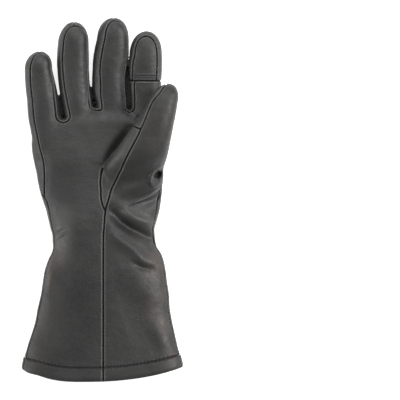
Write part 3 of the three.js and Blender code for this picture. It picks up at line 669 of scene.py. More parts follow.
def labelled(points, onThumb):
    x, y, z = points.T
    up = clampShare(y, palmLength, palmLength + farAway) * farAway
    centres = [fingerPlace(finger, up / fingerLength(finger))["x"] for finger in fingers]
    label = np.full(len(points), number[stripNames[0]])
    for centre, strip in zip(centres, stripNames[1:]):
        label[x > centre] = number[strip]
    above = z > np.interp(y, seamHeights["y"], seamHeights["palm"])
    below = z < np.interp(y, seamHeights["y"], seamHeights["back"])
    betweenX = handWidth * (index["rows"]["x"][0] + fingerNamed["middle"]["rows"]["x"][0]) / 2
    indexEnd = (x > betweenX) & (y > indexSeamY)
    label[indexEnd] = number["index_tip_side"]

    leftEdge = -mix(wristHalf[0], handHalf[0], curveAt(handRows, "left", y / palmLength))
    leftEdge += curveAt(handRows, "strip", y / palmLength) * stripWidth
    plan = (y < palmLength - seamPlaces["webDip"]) & ((x > leftEdge) | (y < 0))
    for finger in fingers:
        strip, tip = finger["strip"] * stripWidth, finger["tipStrip"] * stripWidth
        plan |= insideOutline(x, y, fingerOutline(finger, strip, -slimmer, tip))
    for web in webSeams:
        plan &= ~insideOutline(x, y, webOutline(web))
    inset = index["strip"] * stripWidth
    patch = insideOutline(x, y, fingerOutline(index, inset, inset, index["tipStrip"] * stripWidth))
    label[above & plan & ~indexEnd] = number["palm_panel"]
    label[above & patch & (y > indexSeamY)] = number["index_tip_panel"]
    label[below] = number["back_panel"]

    seamX = mainSeamX(y)
    gussetX = handWidth * np.interp(y, gussetEdge["at"] * palmLength, gussetEdge["x"])
    lowGusset, highGusset = gussetEdge["at"][[0, -1]] * palmLength
    gusset = above & (x > gussetX) & (x < seamX) & (y > lowGusset) & (y < highGusset)
    cuff = above & (x >= seamX) & (y < seamPlaces["cuffFree"] * palmLength)
    overlap = seamPlaces["overlap"]
    gusset |= onThumb & (x < seamX) & (y > seamPlaces["gussetFree"] * palmLength - overlap)
    cuff |= onThumb & (x >= seamX) & (y > seamPlaces["cuffFree"] * palmLength - overlap)
    label[gusset] = number["thumb_gusset"]
    label[cuff] = number["thumb_cuff_panel"]
    cross = thumbPlace(seamPlaces["thumbCross"])
    crossLine = cross["y"] + (x - cross["x"] - cross["seam"]) * seamPlaces["thumbCrossSlope"]
    label[gusset & ~cuff & (y > crossLine)] = number["thumb_tip_inner"]
    return label


def labelFaces(skin):
    centres = np.array([face.calc_center_median() for face in skin.faces])
    onThumb = treeDistance(thumbTree, centres) < treeDistance(handTree, centres)
    layer = skin.faces.layers.int.get("panel") or skin.faces.layers.int.new("panel")
    for face, label in zip(skin.faces, labelled(centres, onThumb)):
        face[layer] = int(label)
    mergeCrumbs(skin, layer)
    return layer


# Each panel is one patch of faces: what lies apart from its largest patch goes to its neighbour
def mergeCrumbs(skin, layer):
    skin.faces.ensure_lookup_table()
    for _ in range(3):
        seen = np.zeros(len(skin.faces), bool)
        patches = {}
        for start in skin.faces:
            if seen[start.index]:
                continue
            seen[start.index] = True
            patch, around, queue = [start], {}, [start]
            while queue:
                face = queue.pop()
                for edge in face.edges:
                    for other in edge.link_faces:
                        if other[layer] != start[layer]:
                            around[other[layer]] = around.get(other[layer], 0) + 1
                        elif not seen[other.index]:
                            seen[other.index] = True
                            patch.append(other)
                            queue.append(other)
            patches.setdefault(start[layer], []).append((patch, around))
        moved = 0
        for found in patches.values():
            found.sort(key=lambda item: -len(item[0]))
            for patch, around in found[1:]:
                if around:
                    label = max(around, key=around.get)
                    moved += len(patch)
                    for face in patch:
                        face[layer] = label
        if not moved:
            break


def seamEdges(skin, layer):
    return [edge for edge in skin.edges if len({face[layer] for face in edge.link_faces}) == 2]


def pointTree(places):
    tree = KDTree(len(places))
    for k, place in enumerate(places):
        tree.insert(place, k)
    tree.balance()
    return tree


hemSettings = {
    "depth": 13.0,
    "raise": 0.8, "raiseEnd": (-1.2, 0.4),
    "groove": 1.3, "grooveWidth": 0.8,
    "lip": 0.8, "lipWidth": 1.3,
    "pucker": 0.3, "puckerPitch": 3.2, "puckerPlace": 0.8, "puckerWidth": 1.6,
}
fineBands = {"lowerHalf": 12, "hemAbove": 5, "foldWidths": 2.2, "besideHollow": 1.2}
patchBand = {"x": (28, 56), "up": (-2, 8), "above": 14}


# Which points get smaller faces: near seams, the hem's groove, sharp folds, hollows and the patch's
# stitches. The underside lies on the floor and needs fewer of them.
def finePoints(places, seams):
    x, y, z = places.T
    sharp = np.zeros(len(places), bool)
    for fold in folds:
        if fold["width"] < skinSettings["sharpFold"]:
            sharp |= nearLine(places, fold["path"], fineBands["foldWidths"] * fold["width"])
    for hollow in hollows:
        sharp |= nearLine(places, hollow["path"], hollow["wide"][0] + fineBands["besideHollow"])
    sharp &= z > fineBands["lowerHalf"]
    patchLow, patchHigh = patchBand["up"]
    across = (x > patchBand["x"][0]) & (x < patchBand["x"][1]) & (z > patchBand["above"])
    sharp |= across & (y > indexSeamY + patchLow) & (y < indexSeamY + patchHigh)
    fromHem = np.abs(y - hemLine(x) - hemSettings["depth"])
    band = np.where(z > fineBands["lowerHalf"], skinSettings["fineBand"], skinSettings["lowBand"])
    sharp |= (fromHem < band) & (z > fineBands["hemAbove"])
    return sharp | (pointDistance(seams, places) < band)


layer = labelFaces(skin)
seamMiddles = pointTree([(e.verts[0].co + e.verts[1].co) / 2 for e in seamEdges(skin, layer)])
chosen = finePoints(np.array([v.co for v in skin.verts]), seamMiddles)
fine = {v for v, near in zip(skin.verts, chosen) if near}
split = [e for e in skin.edges if e.verts[0] in fine and e.verts[1] in fine]
bmesh.ops.subdivide_edges(skin, edges=split, cuts=1, use_grid_fill=True)
layer = labelFaces(skin)
skin.normal_update()
print("stage: panels laid out,", len(skin.faces), "faces")


# Runs of seam points between the places where three panels meet
def seamChains(skin, layer):
    links = {}
    for edge in seamEdges(skin, layer):
        a, b = edge.verts
        links.setdefault(a.index, []).append(b.index)
        links.setdefault(b.index, []).append(a.index)
    used, chains = set(), []

    def walk(start, following):
        chain = [start, following]
        used.add(frozenset(chain))
        while len(links[chain[-1]]) == 2:
            onward = [k for k in links[chain[-1]] if frozenset((chain[-1], k)) not in used]
            if not onward:
                break
            used.add(frozenset((chain[-1], onward[0])))
            chain.append(onward[0])
        return chain

    ends = [k for k in links if len(links[k]) != 2]
    for start in ends + list(links):
        for following in links[start]:
            if frozenset((start, following)) not in used:
                chains.append(walk(start, following))
    return chains


seamSmoothing = {"runSteps": 14, "reach": 3.4, "besideSteps": 5}
skin.verts.ensure_lookup_table()
skin.verts.index_update()
skin.faces.ensure_lookup_table()
surface = BVHTree.FromBMesh(skin)
points = np.array([v.co for v in skin.verts])
edges = np.array([(e.verts[0].index, e.verts[1].index) for e in skin.edges])
chains = seamChains(skin, layer)
seamPoint = np.zeros(len(points), bool)
for chain in chains:
    run = points[chain]
    for _ in range(seamSmoothing["runSteps"]):
        middle = 0.5 * run[1:-1] + 0.25 * (run[:-2] + run[2:])
        run = np.concatenate([run[:1], middle, run[-1:]])
    points[chain] = run
    seamPoint[chain] = True
onHem = np.array([v.is_boundary for v in skin.verts])
seamTree = pointTree([Vector(p) for p in points[seamPoint]])
nearSeam = pointDistance(seamTree, points) < seamSmoothing["reach"]
weight = np.where(nearSeam & ~seamPoint & ~onHem, pull, 0.0)
points = relaxed(points, edges, weight, seamSmoothing["besideSteps"])
for k in np.flatnonzero(nearSeam & ~onHem):
    points[k] = surface.find_nearest(Vector(points[k]))[0]
print("stage:", len(chains), "seams drawn smooth")

# Folds and hollows


def moveSkin(points):
    for vertex, place in zip(skin.verts, points):
        vertex.co = place
    skin.normal_update()
    return np.array([v.normal for v in skin.verts])


# Height, length, number of waves and seed of the leather's long and short unevenness
unevenness = [(0.26, 42.0, 9, 3), (0.05, 14.0, 12, 5)]
hollowSmoothing = {"beside": 0.6, "above": 6, "steps": 4}
normals = moveSkin(points)
onHand = treeDistance(handTree, points) <= treeDistance(thumbTree, points)
points[:, 2] += foldedHeights(points, normals, onHand) + cuffSag(points, normals)
points += normals * sum(height * waves(points, *wave) for height, *wave in unevenness)[:, None]
points[:, 2] = np.maximum(points[:, 2], 0.0)
inHollow = np.zeros(len(points), bool)
for hollow in hollows:
    inHollow |= nearLine(points, hollow["path"], hollow["wide"][0] + hollowSmoothing["beside"])
weight = np.where(inHollow & ~seamPoint & (points[:, 2] > hollowSmoothing["above"]), pull, 0.0)
points = relaxed(points, edges, weight, hollowSmoothing["steps"])
normals = moveSkin(points)
print("stage: folds")

# Seams, hem and leather relief

seamSettings = {
    "grooveDepth": 1.5, "grooveWidth": 0.75,
    "lipHeight": 0.32, "lipPlace": 1.7, "lipWidth": 0.9,
    "swell": 0.7, "swellWidth": 6.0,
    "pucker": 0.14, "puckerPitch": 3.3, "puckerWidth": 2.4,
}
faintSeam = 0.3               # where two strips meet round a fingertip
stripLabels = {number[name] for name in stripNames}
underThumb = {number["palm_panel"], number["thumb_gusset"]}


# How strongly a seam shows: the crease beneath the thumb hides its seam
def seamShare(labels, y):
    if labels <= stripLabels:
        return faintSeam
    crease = seamPlaces["gussetFree"] * palmLength - seamPlaces["creaseReach"]
    return 0.0 if labels == underThumb and y > crease else 1.0


facesOf = [[v.index for v in face.verts] for face in skin.faces]
labelOf = np.array([face[layer] for face in skin.faces])
arcOf = np.zeros(len(points))
for chain in chains:
    steps = np.linalg.norm(np.diff(points[chain], axis=0), axis=1)
    arcOf[chain] = np.concatenate([[0], np.cumsum(steps)])
seamDistance = np.full(len(points), farAway)
seamArc = np.zeros(len(points))
seamStrength = np.ones(len(points))
edgeList = [(e.verts[0].index, e.verts[1].index, {f[layer] for f in e.link_faces}) for e in skin.edges]
for label in range(len(pieceNames)):
    places, arcs, strengths = [], [], []
    for a, b, labels in edgeList:
        if len(labels) == 2 and label in labels:
            for share in (0.0, 0.33, 0.67, 1.0):
                places.append(Vector(mix(points[a], points[b], share)))
                arcs.append(mix(arcOf[a], arcOf[b], share))
                strengths.append(seamShare(labels, places[-1].y))
    tree = pointTree(places)
    for k in {k for face, own in zip(facesOf, labelOf) if own == label for k in face}:
        _, found, distance = tree.find(Vector(points[k]))
        if distance < seamDistance[k]:
            seamDistance[k], seamArc[k], seamStrength[k] = distance, arcs[found], strengths[found]


def puckers(arc, settings):
    return settings["pucker"] * np.cos(2 * np.pi * arc / settings["puckerPitch"])


hemDistance = points[:, 1] - hemLine(points[:, 0])
s, h = seamSettings, hemSettings
relief = s["lipHeight"] * bell(seamDistance - s["lipPlace"], s["lipWidth"])
relief -= s["grooveDepth"] * bell(seamDistance, s["grooveWidth"])
relief -= s["swell"] * np.exp(-seamDistance / s["swellWidth"])
relief += puckers(seamArc, s) * bell(seamDistance, s["puckerWidth"])
relief *= seamStrength
hemArc = points[:, 0] + points[:, 2] * np.sign(points[:, 0])
fromGroove = hemDistance - h["depth"]
relief += puckers(hemArc, h) * bell(fromGroove - h["puckerPlace"], h["puckerWidth"])
relief += h["raise"] * (1 - smoothShare(fromGroove, *h["raiseEnd"]))
relief -= h["groove"] * bell(fromGroove, h["grooveWidth"])
relief -= h["lip"] * bell(hemDistance, h["lipWidth"])
onPatch = np.zeros(len(points), bool)
for face, label in zip(facesOf, labelOf):
    if label == number["index_tip_panel"]:
        onPatch[face] = True
patchRows = {"above": (2.5, 5.0), "depth": 0.55, "width": 0.55, "band": 0.35, "bandTop": 7}
patchHeight = points[:, 1] - indexSeamY
rowDistance = np.min([np.abs(patchHeight - up) for up in patchRows["above"]], axis=0)
rowGroove = np.where(onPatch, bell(rowDistance, patchRows["width"]), 0)
relief += np.where(onPatch & (patchHeight < patchRows["bandTop"]), patchRows["band"], 0)
relief -= patchRows["depth"] * rowGroove
outer = points + normals * relief[:, None]
outer[:, 2] = np.maximum(outer[:, 2], 0.0)
print("stage: seams and hem pressed in")

# Materials


def newMaterial(name):
    material = bpy.data.materials.new(name)
    material.use_nodes = True
    tree = material.node_tree
    return material, tree, tree.nodes["Principled BSDF"]


# A node with its settings, and those of its inputs that keep one value
def addNode(tree, kind, **values):
    node = tree.nodes.new(kind)
    for name, value in values.items():
        if hasattr(node, name):
            setattr(node, name, value)
        else:
            node.inputs[name.replace("_", " ")].default_value = value
    return node


# Links outputs to inputs, each written as node, output, node, input
def join(tree, *links):
    for source, output, target, entry in links:
        tree.links.new(source.outputs[output], target.inputs[entry])


def onObject(tree, texture):
    join(tree, (addNode(tree, "ShaderNodeTexCoord"), "Object", texture, "Vector"))
    return texture


def noise(tree, **values):
    return onObject(tree, addNode(tree, "ShaderNodeTexNoise", **values))


# A colour from low to high, each a colour or an earlier mix
def colourMix(tree, factor, output, low, high):
    node = addNode(tree, "ShaderNodeMix", data_type="RGBA")
    join(tree, (factor, output, node, "Factor"))
    for entry, value in (("A", low), ("B", high)):
        if isinstance(value, tuple):
            node.inputs[entry].default_value = value
        else:
            join(tree, (value, "Result", node, entry))
    return node


# Bumps one over the other, each with its texture, output, strength and distance
def bumps(tree, shader, *textures):
    last = None
    for texture, output, strength, distance in textures:
        bump = addNode(tree, "ShaderNodeBump", Strength=strength, Distance=distance)
        join(tree, (texture, output, bump, "Height"))
        if last:
            join(tree, (last, "Normal", bump, "Normal"))
        last = bump
    join(tree, (last, "Normal", shader, "Normal"))


def setShader(shader, **values):
    for name, value in values.items():
        shader.inputs[name.replace("_", " ")].default_value = value


leatherLook = {
    "dark": (0.0145, 0.0143, 0.0139, 1),
    "light": (0.0215, 0.0213, 0.0206, 1),
    "warm": (0.046, 0.036, 0.0305, 1),
    # near-black of the seams, also the colour that painted shade darkens towards
    "seam": (0.0015, 0.0015, 0.0015, 1),
    # lighter colour for worn places and for painted light and highlights
    "wornAndLit": (0.105, 0.104, 0.1, 1),
    "roughness": (0.4, 0.56),
    "gloss": 0.42,
    "sheen": 0.03,
}
liningLook = {"dark": (0.014, 0.014, 0.015, 1), "light": (0.04, 0.04, 0.042, 1), "roughness": 0.95,
              "sheen": 0.3}
threadLook = {"dark": (0.008, 0.008, 0.008, 1), "light": (0.03, 0.03, 0.03, 1), "roughness": 0.5}


def leatherMaterial():
    material, tree, shader = newMaterial("charcoalLeather")
    look = leatherLook
    patches = noise(tree, Scale=22.0, Detail=3.0)
    blotches = noise(tree, Scale=9.0, Detail=2.0)
    grain = onObject(tree, addNode(tree, "ShaderNodeTexVoronoi", feature="SMOOTH_F1", Scale=950.0))
    pores = noise(tree, Scale=2600.0, Detail=2.0)
    creases = noise(tree, Scale=260.0, Detail=4.0, Roughness=0.6)

    toneRange = addNode(tree, "ShaderNodeMapRange", From_Min=0.35, From_Max=0.65)
    warmRange = addNode(tree, "ShaderNodeMapRange", From_Min=0.35, From_Max=0.6)
    warmShare = addNode(tree, "ShaderNodeMath", operation="MULTIPLY")
    tint = addNode(tree, "ShaderNodeAttribute", attribute_name="warmTint")
    wornAndLit = addNode(tree, "ShaderNodeAttribute", attribute_name="wearAndLight")
    seam = addNode(tree, "ShaderNodeAttribute", attribute_name="seamsAndPaintedShade")
    join(tree, (patches, "Fac", toneRange, "Value"), (blotches, "Fac", warmRange, "Value"),
         (warmRange, "Result", warmShare, 0), (tint, "Fac", warmShare, 1))
    tone = colourMix(tree, toneRange, "Result", look["dark"], look["light"])
    warmed = colourMix(tree, warmShare, "Value", tone, look["warm"])
    wearAndLightMix = colourMix(tree, wornAndLit, "Fac", warmed, look["wornAndLit"])
    seamAndShadeMix = colourMix(tree, seam, "Fac", wearAndLightMix, look["seam"])
    gloss = addNode(tree, "ShaderNodeMapRange", From_Min=0.3, From_Max=0.7,
                    To_Min=look["roughness"][0], To_Max=look["roughness"][1])
    join(tree, (seamAndShadeMix, "Result", shader, "Base Color"), (creases, "Fac", gloss, "Value"),
         (gloss, "Result", shader, "Roughness"))
    bumps(tree, shader, (creases, "Fac", 0.5, 0.0006), (grain, "Distance", 0.35, 0.00025),
          (pores, "Fac", 0.3, 0.0001))
    setShader(shader, Specular_IOR_Level=look["gloss"], Sheen_Weight=look["sheen"], Sheen_Roughness=0.5)
    return material


def liningMaterial():
    material, tree, shader = newMaterial("brushedLining")
    nap = noise(tree, Scale=700.0, Detail=4.0, Roughness=0.7)
    tone = colourMix(tree, nap, "Fac", liningLook["dark"], liningLook["light"])
    join(tree, (tone, "Result", shader, "Base Color"))
    bumps(tree, shader, (nap, "Fac", 0.8, 0.0008))
    setShader(shader, Roughness=liningLook["roughness"], Sheen_Weight=liningLook["sheen"])
    return material


def threadMaterial():
    material, tree, shader = newMaterial("waxedThread")
    twist = noise(tree, Scale=1800.0, Detail=2.0)
    tone = colourMix(tree, twist, "Fac", threadLook["dark"], threadLook["light"])
    join(tree, (tone, "Result", shader, "Base Color"))
    setShader(shader, Roughness=threadLook["roughness"])
    return material


leather, lining, thread = leatherMaterial(), liningMaterial(), threadMaterial()

# Where the leather's colour differs, and where light and shade are painted into it

# A brownish tint where the cuff's sides and the thumb are handled most
tintPlaces = {
    "sides": (0.55, 0.85),    # shares of the cuff's half width
    "belowWrist": (20, -30),
    "thumb": (55, 105), "thumbReach": 26, "thumbAmount": 0.4,
    "even": 0.55, "patchy": 0.5,
    "patches": (30.0, 8, 11),                   # length, number of waves and seed
}
# Places made a little lighter: painted light on the gusset, the left wrist, a ridge by the thumb's root,
# the thumb's lower part and the index tip, and wear together with painted light on the cuff's left edge
rubbedAndLit = [
    stroke(6.0, 0.13, (3, 36), (9, 60), (22, 88), (34, 108)),
    stroke(6.5, 0.3, (24, 22), (36, 15), (52, 9)),
    stroke(12.0, 0.06, (30, 48), (46, 66), (52, 90)),
    stroke(10.0, 0.3, (-38, 20), (-44, -4), (-46, -20)),
    stroke(5.0, 0.24, (-60, -45), (-69, -84), (-77, -116)),
    stroke(12.0, 0.07, (28, 182), (46, 182)),
]
# And where shade is painted in: darker on the cuff's middle, by the hem, along the hand's left edge and in
# two fold valleys
paintedShades = [
    stroke(20.0, 0.34, (-24, -50), (-20, -100)),
    stroke(10.0, 0.2, (40, -128), (66, -134)),
    stroke(4.0, 0.3, (-69, 60), (-72, 110)),
    stroke(5.0, 0.35, (9, 23), (16, 16), (24, 8)),
    stroke(9.0, 0.12, (16, -42), (30, -60)),
]
crestShine = {"width": 0.55, "facing": (0.1, 0.4), "fade": 0.3}
shades = {
    "hemGroove": 0.9, "hemGrooveWidth": 0.7,
    "seamWidth": 0.85,
    "patchRows": 0.75,
    "strips": 0.22,
    "backPanel": 0.4, "backHeights": (14, 20),
    "wornAndLit": 0.75, "wornAndLitPlace": 1.45, "wornAndLitWidth": 0.5,
}
x, y, z = points.T


def amountsAt(places):
    amounts = np.zeros(len(points))
    for place in places:
        near = bell(lineDistance(x, y, place["path"])[0], place["width"])
        amounts = np.maximum(amounts, place["amount"] * near)
    return amounts


halfWidth = np.where(x < 0, curveAt(bodyRows, "left", y, "y"), curveAt(bodyRows, "right", y, "y"))
warmTint = smoothShare(np.abs(x) / halfWidth, *tintPlaces["sides"])
warmTint *= smoothShare(y, *tintPlaces["belowWrist"])
fromThumb = np.hypot(x - tintPlaces["thumb"][0], y - tintPlaces["thumb"][1])
warmTint = np.maximum(warmTint, tintPlaces["thumbAmount"] * bell(fromThumb, tintPlaces["thumbReach"]))
patchiness = tintPlaces["patchy"] * waves(points, *tintPlaces["patches"])
warmTint *= np.clip(tintPlaces["even"] + patchiness, 0, 1)
paintedShadeShare = amountsAt(paintedShades)
wearAndLightShare = amountsAt(rubbedAndLit)
# Painted highlight: a lighter line along a fold's crest where it faces up
for fold in folds:
    if "shine" in fold:
        distance, along = lineDistance(x, y, fold["path"])
        shine = fold["shine"] * bell(distance, crestShine["width"])
        shine *= smoothShare(normals[:, 2], *crestShine["facing"])
        wearAndLightShare = np.maximum(wearAndLightShare, shine * smoothShare(1 - along, 0, crestShine["fade"]))
seamShows = seamStrength > 0
seamLine = bell(seamDistance, shades["seamWidth"]) * seamShows
darkShare = np.maximum(seamLine, shades["hemGroove"] * bell(fromGroove, shades["hemGrooveWidth"]))
# Painted shade joins the dark of the seams and stitch rows
darkShare = np.maximum(darkShare, np.maximum(shades["patchRows"] * rowGroove, paintedShadeShare))
# A lighter line on each seam's raised lip: wear together with a painted highlight
besideSeam = shades["wornAndLit"] * bell(seamDistance - shades["wornAndLitPlace"], shades["wornAndLitWidth"]) * seamShows
wearAndLightShare = np.maximum(wearAndLightShare, besideSeam)

# The panels' meshes: outer face, lining face, and a rim that closes them

mm = 0.001
seamX = cadLow.x / mm + gloveSizes["cuffWidth"] * leftShare["cuff"]
wristY = cadLow.y / mm + cuffLength + gloveSizes["hemBow"]
origin = np.array([seamX, wristY, cadLow.z / mm])
wallThickness = 2.6
lowestInside = 1.2            # the lining's height over the floor
hemRim = {
    "steps": 4,
    "bulge": 0.9,
    "reach": 0.05,
    "leatherPast": 1.0,       # mm by which the turned-in leather ends before the hem's groove
}


def inFrame(places):
    return (np.asarray(places) + origin) * mm


def addAttribute(mesh, name, values):
    attribute = mesh.attributes.new(name, "FLOAT", "POINT")
    attribute.data.foreach_set("value", np.asarray(values, np.float32))


def panelMesh(name, label):
    own = [face for face, k in zip(facesOf, labelOf) if k == label]
    used = sorted({k for face in own for k in face})
    place = {k: i for i, k in enumerate(used)}
    count = len(used)
    front = outer[used]
    back = points[used] - normals[used] * wallThickness
    back[:, 2] = np.maximum(back[:, 2], lowestInside)
    vertices = [front, back]
    faces = [[place[k] for k in face] for face in own]
    kinds = [0] * len(faces)
    inside = hemDistance[used] > hemSettings["depth"] - hemRim["leatherPast"]
    for face in faces[:]:
        faces.append([k + count for k in reversed(face)])
        kinds.append(1 if inside[face].all() else 0)
    directed = {(face[i - 1], face[i]) for face in faces[:len(own)] for i in range(len(face))}
    rim = [(a, b) for a, b in directed if (b, a) not in directed]
    middles, extra = {}, []
    for a in sorted({k for edge in rim for k in edge}):
        if hemDistance[used[a]] < hemRim["reach"]:
            chain = []
            for step in range(1, hemRim["steps"]):
                share = step / hemRim["steps"]
                bulge = np.array([0, -hemRim["bulge"] * math.sin(math.pi * share), 0])
                chain.append(2 * count + len(extra))
                extra.append(mix(front[a], back[a], share) + bulge)
            middles[a] = chain
    for a, b in sorted(rim):
        if a in middles and b in middles:
            left, right = [a, *middles[a], a + count], [b, *middles[b], b + count]
            for i in range(len(left) - 1):
                faces.append([right[i], left[i], left[i + 1], right[i + 1]])
        else:
            faces.append([b, a, *middles.get(a, []), a + count, b + count, *reversed(middles.get(b, []))])
    kinds += [0] * (len(faces) - len(kinds))
    if extra:
        vertices.append(np.array(extra))
    mesh = bpy.data.meshes.new(name)
    mesh.from_pydata(inFrame(np.concatenate(vertices)).tolist(), [], faces)
    mesh.materials.append(leather)
    mesh.materials.append(lining)
    mesh.polygons.foreach_set("material_index", kinds)
    mesh.polygons.foreach_set("use_smooth", [True] * len(faces))
    spare = [0.0] * (count + len(extra))
    dark = darkShare[used]
    # Painted shade: the side strips and fourchettes, facing sideways and lying between the fingers, are
    # made darker
    if label in stripLabels:
        dark = np.maximum(dark, shades["strips"])
    if label == number["back_panel"]:
        dark = np.maximum(dark, shades["backPanel"] * smoothShare(z[used], *shades["backHeights"]))
    # The seams' dark together with painted shade
    addAttribute(mesh, "seamsAndPaintedShade", [*dark, *spare])
    addAttribute(mesh, "warmTint", [*warmTint[used], *spare])
    addAttribute(mesh, "wearAndLight", [*wearAndLightShare[used], *spare])
    mesh.update()
    return mesh


for label, name in enumerate(pieceNames):
    panel = addObject(name + "_leather", panelMesh(name + "_leather", label))
    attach(panel, "root")
    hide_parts(name)
print("stage:", len(pieceNames), "panels")

# Stitches

stitchSettings = {"pitch": 3.2, "length": 2.3, "radius": 0.26}


# Capsules at even steps along a path
def stitchTree():
    tree = bpy.data.node_groups.new("stitchRow", "GeometryNodeTree")
    tree.interface.new_socket("Path", in_out="INPUT", socket_type="NodeSocketGeometry")
    for name in ("Pitch", "Stitch length", "Thread radius"):
        tree.interface.new_socket(name, in_out="INPUT", socket_type="NodeSocketFloat")
    tree.interface.new_socket("Stitches", in_out="OUTPUT", socket_type="NodeSocketGeometry")
    entry, out = addNode(tree, "NodeGroupInput"), addNode(tree, "NodeGroupOutput")
    curve = addNode(tree, "GeometryNodeMeshToCurve")
    spots = addNode(tree, "GeometryNodeCurveToPoints", mode="LENGTH")
    capsule = addNode(tree, "GeometryNodeMeshUVSphere", Segments=7, Rings=5)
    stretch = addNode(tree, "GeometryNodeTransform")
    ratio = addNode(tree, "ShaderNodeMath", operation="DIVIDE")
    double = addNode(tree, "ShaderNodeMath", operation="MULTIPLY")
    double.inputs[1].default_value = 2.0
    scale = addNode(tree, "ShaderNodeCombineXYZ", X=1.0, Y=1.0)
    place = addNode(tree, "GeometryNodeInstanceOnPoints")
    real = addNode(tree, "GeometryNodeRealizeInstances")
    smooth = addNode(tree, "GeometryNodeSetShadeSmooth")
    paint = addNode(tree, "GeometryNodeSetMaterial", Material=thread)
    join(tree, (entry, "Path", curve, "Mesh"), (curve, "Curve", spots, "Curve"),
         (entry, "Pitch", spots, "Length"),
         (entry, "Thread radius", capsule, "Radius"), (entry, "Thread radius", double, 0),
         (entry, "Stitch length", ratio, 0), (double, "Value", ratio, 1), (ratio, "Value", scale, "Z"),
         (capsule, "Mesh", stretch, "Geometry"), (scale, "Vector", stretch, "Scale"),
         (spots, "Points", place, "Points"), (spots, "Rotation", place, "Rotation"),
         (stretch, "Geometry", place, "Instance"), (place, "Instances", real, "Geometry"),
         (real, "Geometry", smooth, "Geometry"), (smooth, "Geometry", paint, "Geometry"),
         (paint, "Geometry", out, "Stitches"))
    return tree


stitchNodes = stitchTree()
gloveTree = BVHTree.FromPolygons([Vector(p) for p in outer], facesOf)


def stitchRows(name, paths, **changes):
    sizes = {**stitchSettings, **changes}
    vertices, joins = [], []
    for path in paths:
        start = len(vertices)
        vertices += [tuple(p) for p in inFrame(path)]
        joins += [(k, k + 1) for k in range(start, len(vertices) - 1)]
    mesh = bpy.data.meshes.new(name)
    mesh.from_pydata(vertices, joins, [])
    source = addObject(name + "_path", mesh)
    modifier = source.modifiers.new("stitches", "NODES")
    modifier.node_group = stitchNodes
    values = {"Pitch": sizes["pitch"] * mm, "Stitch length": sizes["length"] * mm,
              "Thread radius": sizes["radius"] * mm}
    for item in stitchNodes.interface.items_tree:
        if item.item_type == "SOCKET" and item.name in values:
            modifier[item.identifier] = values[item.name]
    stitches = addObject(name, madeMesh(source))
    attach(stitches, "root")


# Points on the leather, lifted off it: nearest to the given points, or straight beneath them
def nearestOn(places, lift):
    row = []
    for place in places:
        hit, normal, _, _ = gloveTree.find_nearest(Vector([float(k) for k in place]))
        row.append(np.array(hit + normal * lift))
    return row


def onTop(path, lift):
    placed = []
    for x, y in path:
        hit, normal, _, _ = gloveTree.ray_cast(Vector((x, y, farAway)), Vector((0, 0, -1)))
        if hit is not None:
            placed.append(np.array(hit + normal * lift))
    return placed


def hemRow(inset, lift):
    section = bodyRings(sides=160)[1]
    row = nearestOn([(x, hemLine(x) + inset, z) for x, y, z in section], lift)
    return row + row[:1]


def straightRow(start, end, count=30):
    return [(mix(start[0], end[0], t), mix(start[1], end[1], t)) for t in np.linspace(0, 1, count)]


# Beside the cuff's side seam, from the wrist to the hem
def sideRow(side, inset, lift):
    y = np.linspace(-sideRows["belowWrist"], -cuffLength + sideRows["aboveHem"], sideRows["points"])
    x = curveAt(bodyRows, side, y, "y") * (-1 if side == "left" else 1)
    z = np.interp(y, seamHeights["y"], seamHeights["palm"]) + inset
    return nearestOn(zip(x, y, z), lift)


sideRows = {"belowWrist": 16, "aboveHem": 4, "points": 60, "beside": (-2.0, 2.0)}
centreRow = {"start": (1.5, -14), "end": (1.5, -130), "points": 80}
patchStitches = {"x": (32.3, 48.9), "above": (2.6, 5.2)}
thumbStitches = [((27.8, 108.6), (35.4, 105.2)), ((28.4, 106.6), (36, 103.2))]
lifts = {"hem": 0.25, "cuff": 0.1, "tips": 0.12}      # mm over the leather

stitchRows("hem_stitches", [hemRow(hemSettings["depth"], lifts["hem"])])
cuffRowPlaces = [(side, inset) for side in ("left", "right") for inset in sideRows["beside"]]
stitchRows("cuff_seam_stitches", [sideRow(*place, lifts["cuff"]) for place in cuffRowPlaces],
           pitch=3.0, length=1.9, radius=0.2)
stitchRows("centre_seam_stitches",
           [onTop(straightRow(centreRow["start"], centreRow["end"], centreRow["points"]), lifts["cuff"])],
           pitch=2.4, length=1.6, radius=0.2)
stitchRows("index_patch_stitches",
           [onTop(straightRow(*[(x, indexSeamY + up) for x in patchStitches["x"]]), lifts["tips"])
            for up in patchStitches["above"]],
           pitch=2.3, length=1.7, radius=0.22)
stitchRows("thumb_cross_stitches", [onTop(straightRow(*ends), lifts["tips"]) for ends in thumbStitches],
           pitch=2.2, length=1.6, radius=0.2)
print("stage: stitches")

# Floor, lights and camera

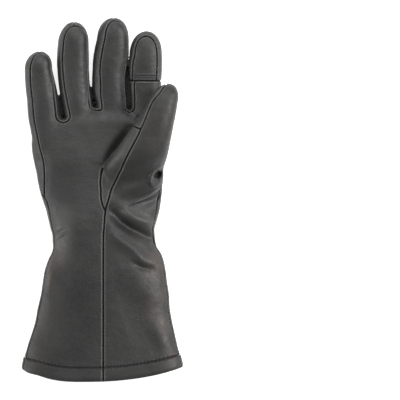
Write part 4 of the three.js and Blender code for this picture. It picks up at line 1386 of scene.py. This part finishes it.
viewSettings = {
    "frameWidth": 0.400,      # metres that the picture's width covers at the glove
    "frameCentre": (0.0976, -0.0002),
    "focusHeight": 0.019,
    "lens": 1000.0,
    "sensor": 36.0,
    "farthest": 20,
}
floorLook = {"half": 6.0, "height": -0.0003, "colour": (0.8, 0.8, 0.8, 1), "roughness": 0.9, "glow": 0.7}
roomGlow = 0.37
lightSize = 1.2
lights = [
    ("northWindow", (0.05, 0.9, 1.0), 11.5),
    ("leftWindow", (-1.6, -0.2, 0.75), 17),
    ("rightWindow", (1.6, 0.3, 1.3), 34),
]


def addFloor():
    material, _, shader = newMaterial("paleFloor")
    setShader(shader, Base_Color=floorLook["colour"], Roughness=floorLook["roughness"],
              Emission_Color=(1, 1, 1, 1), Emission_Strength=floorLook["glow"])
    mesh = bpy.data.meshes.new("floor")
    half, height = floorLook["half"], floorLook["height"]
    corners = [(-half, -half), (half, -half), (half, half), (-half, half)]
    mesh.from_pydata([(x, y, height) for x, y in corners], [], [(0, 1, 2, 3)])
    mesh.materials.append(material)
    addObject("floor", mesh)


def addLight(name, place, energy):
    data = bpy.data.lights.new(name, "AREA")
    data.shape = "DISK"
    data.size = lightSize
    data.energy = energy
    light = addObject(name, data)
    light.location = place
    light.rotation_mode = "QUATERNION"
    light.rotation_quaternion = (-Vector(place)).to_track_quat("-Z", "Y")


def addWorld():
    world = bpy.data.worlds.new("softRoom")
    world.use_nodes = True
    background = world.node_tree.nodes["Background"]
    setShader(background, Color=(1, 1, 1, 1), Strength=roomGlow)
    bpy.context.scene.world = world


def addCamera():
    data = bpy.data.cameras.new("camera")
    data.lens = viewSettings["lens"]
    data.sensor_width = viewSettings["sensor"]
    data.clip_end = viewSettings["farthest"]
    distance = viewSettings["frameWidth"] * viewSettings["lens"] / data.sensor_width
    camera = addObject("camera", data)
    camera.location = (*viewSettings["frameCentre"], viewSettings["focusHeight"] + distance)
    bpy.context.scene.camera = camera


addFloor()
for light in lights:
    addLight(*light)
addWorld()
addCamera()
bpy.context.scene.view_settings.view_transform = "Standard"
print("stage: floor, lights and camera")
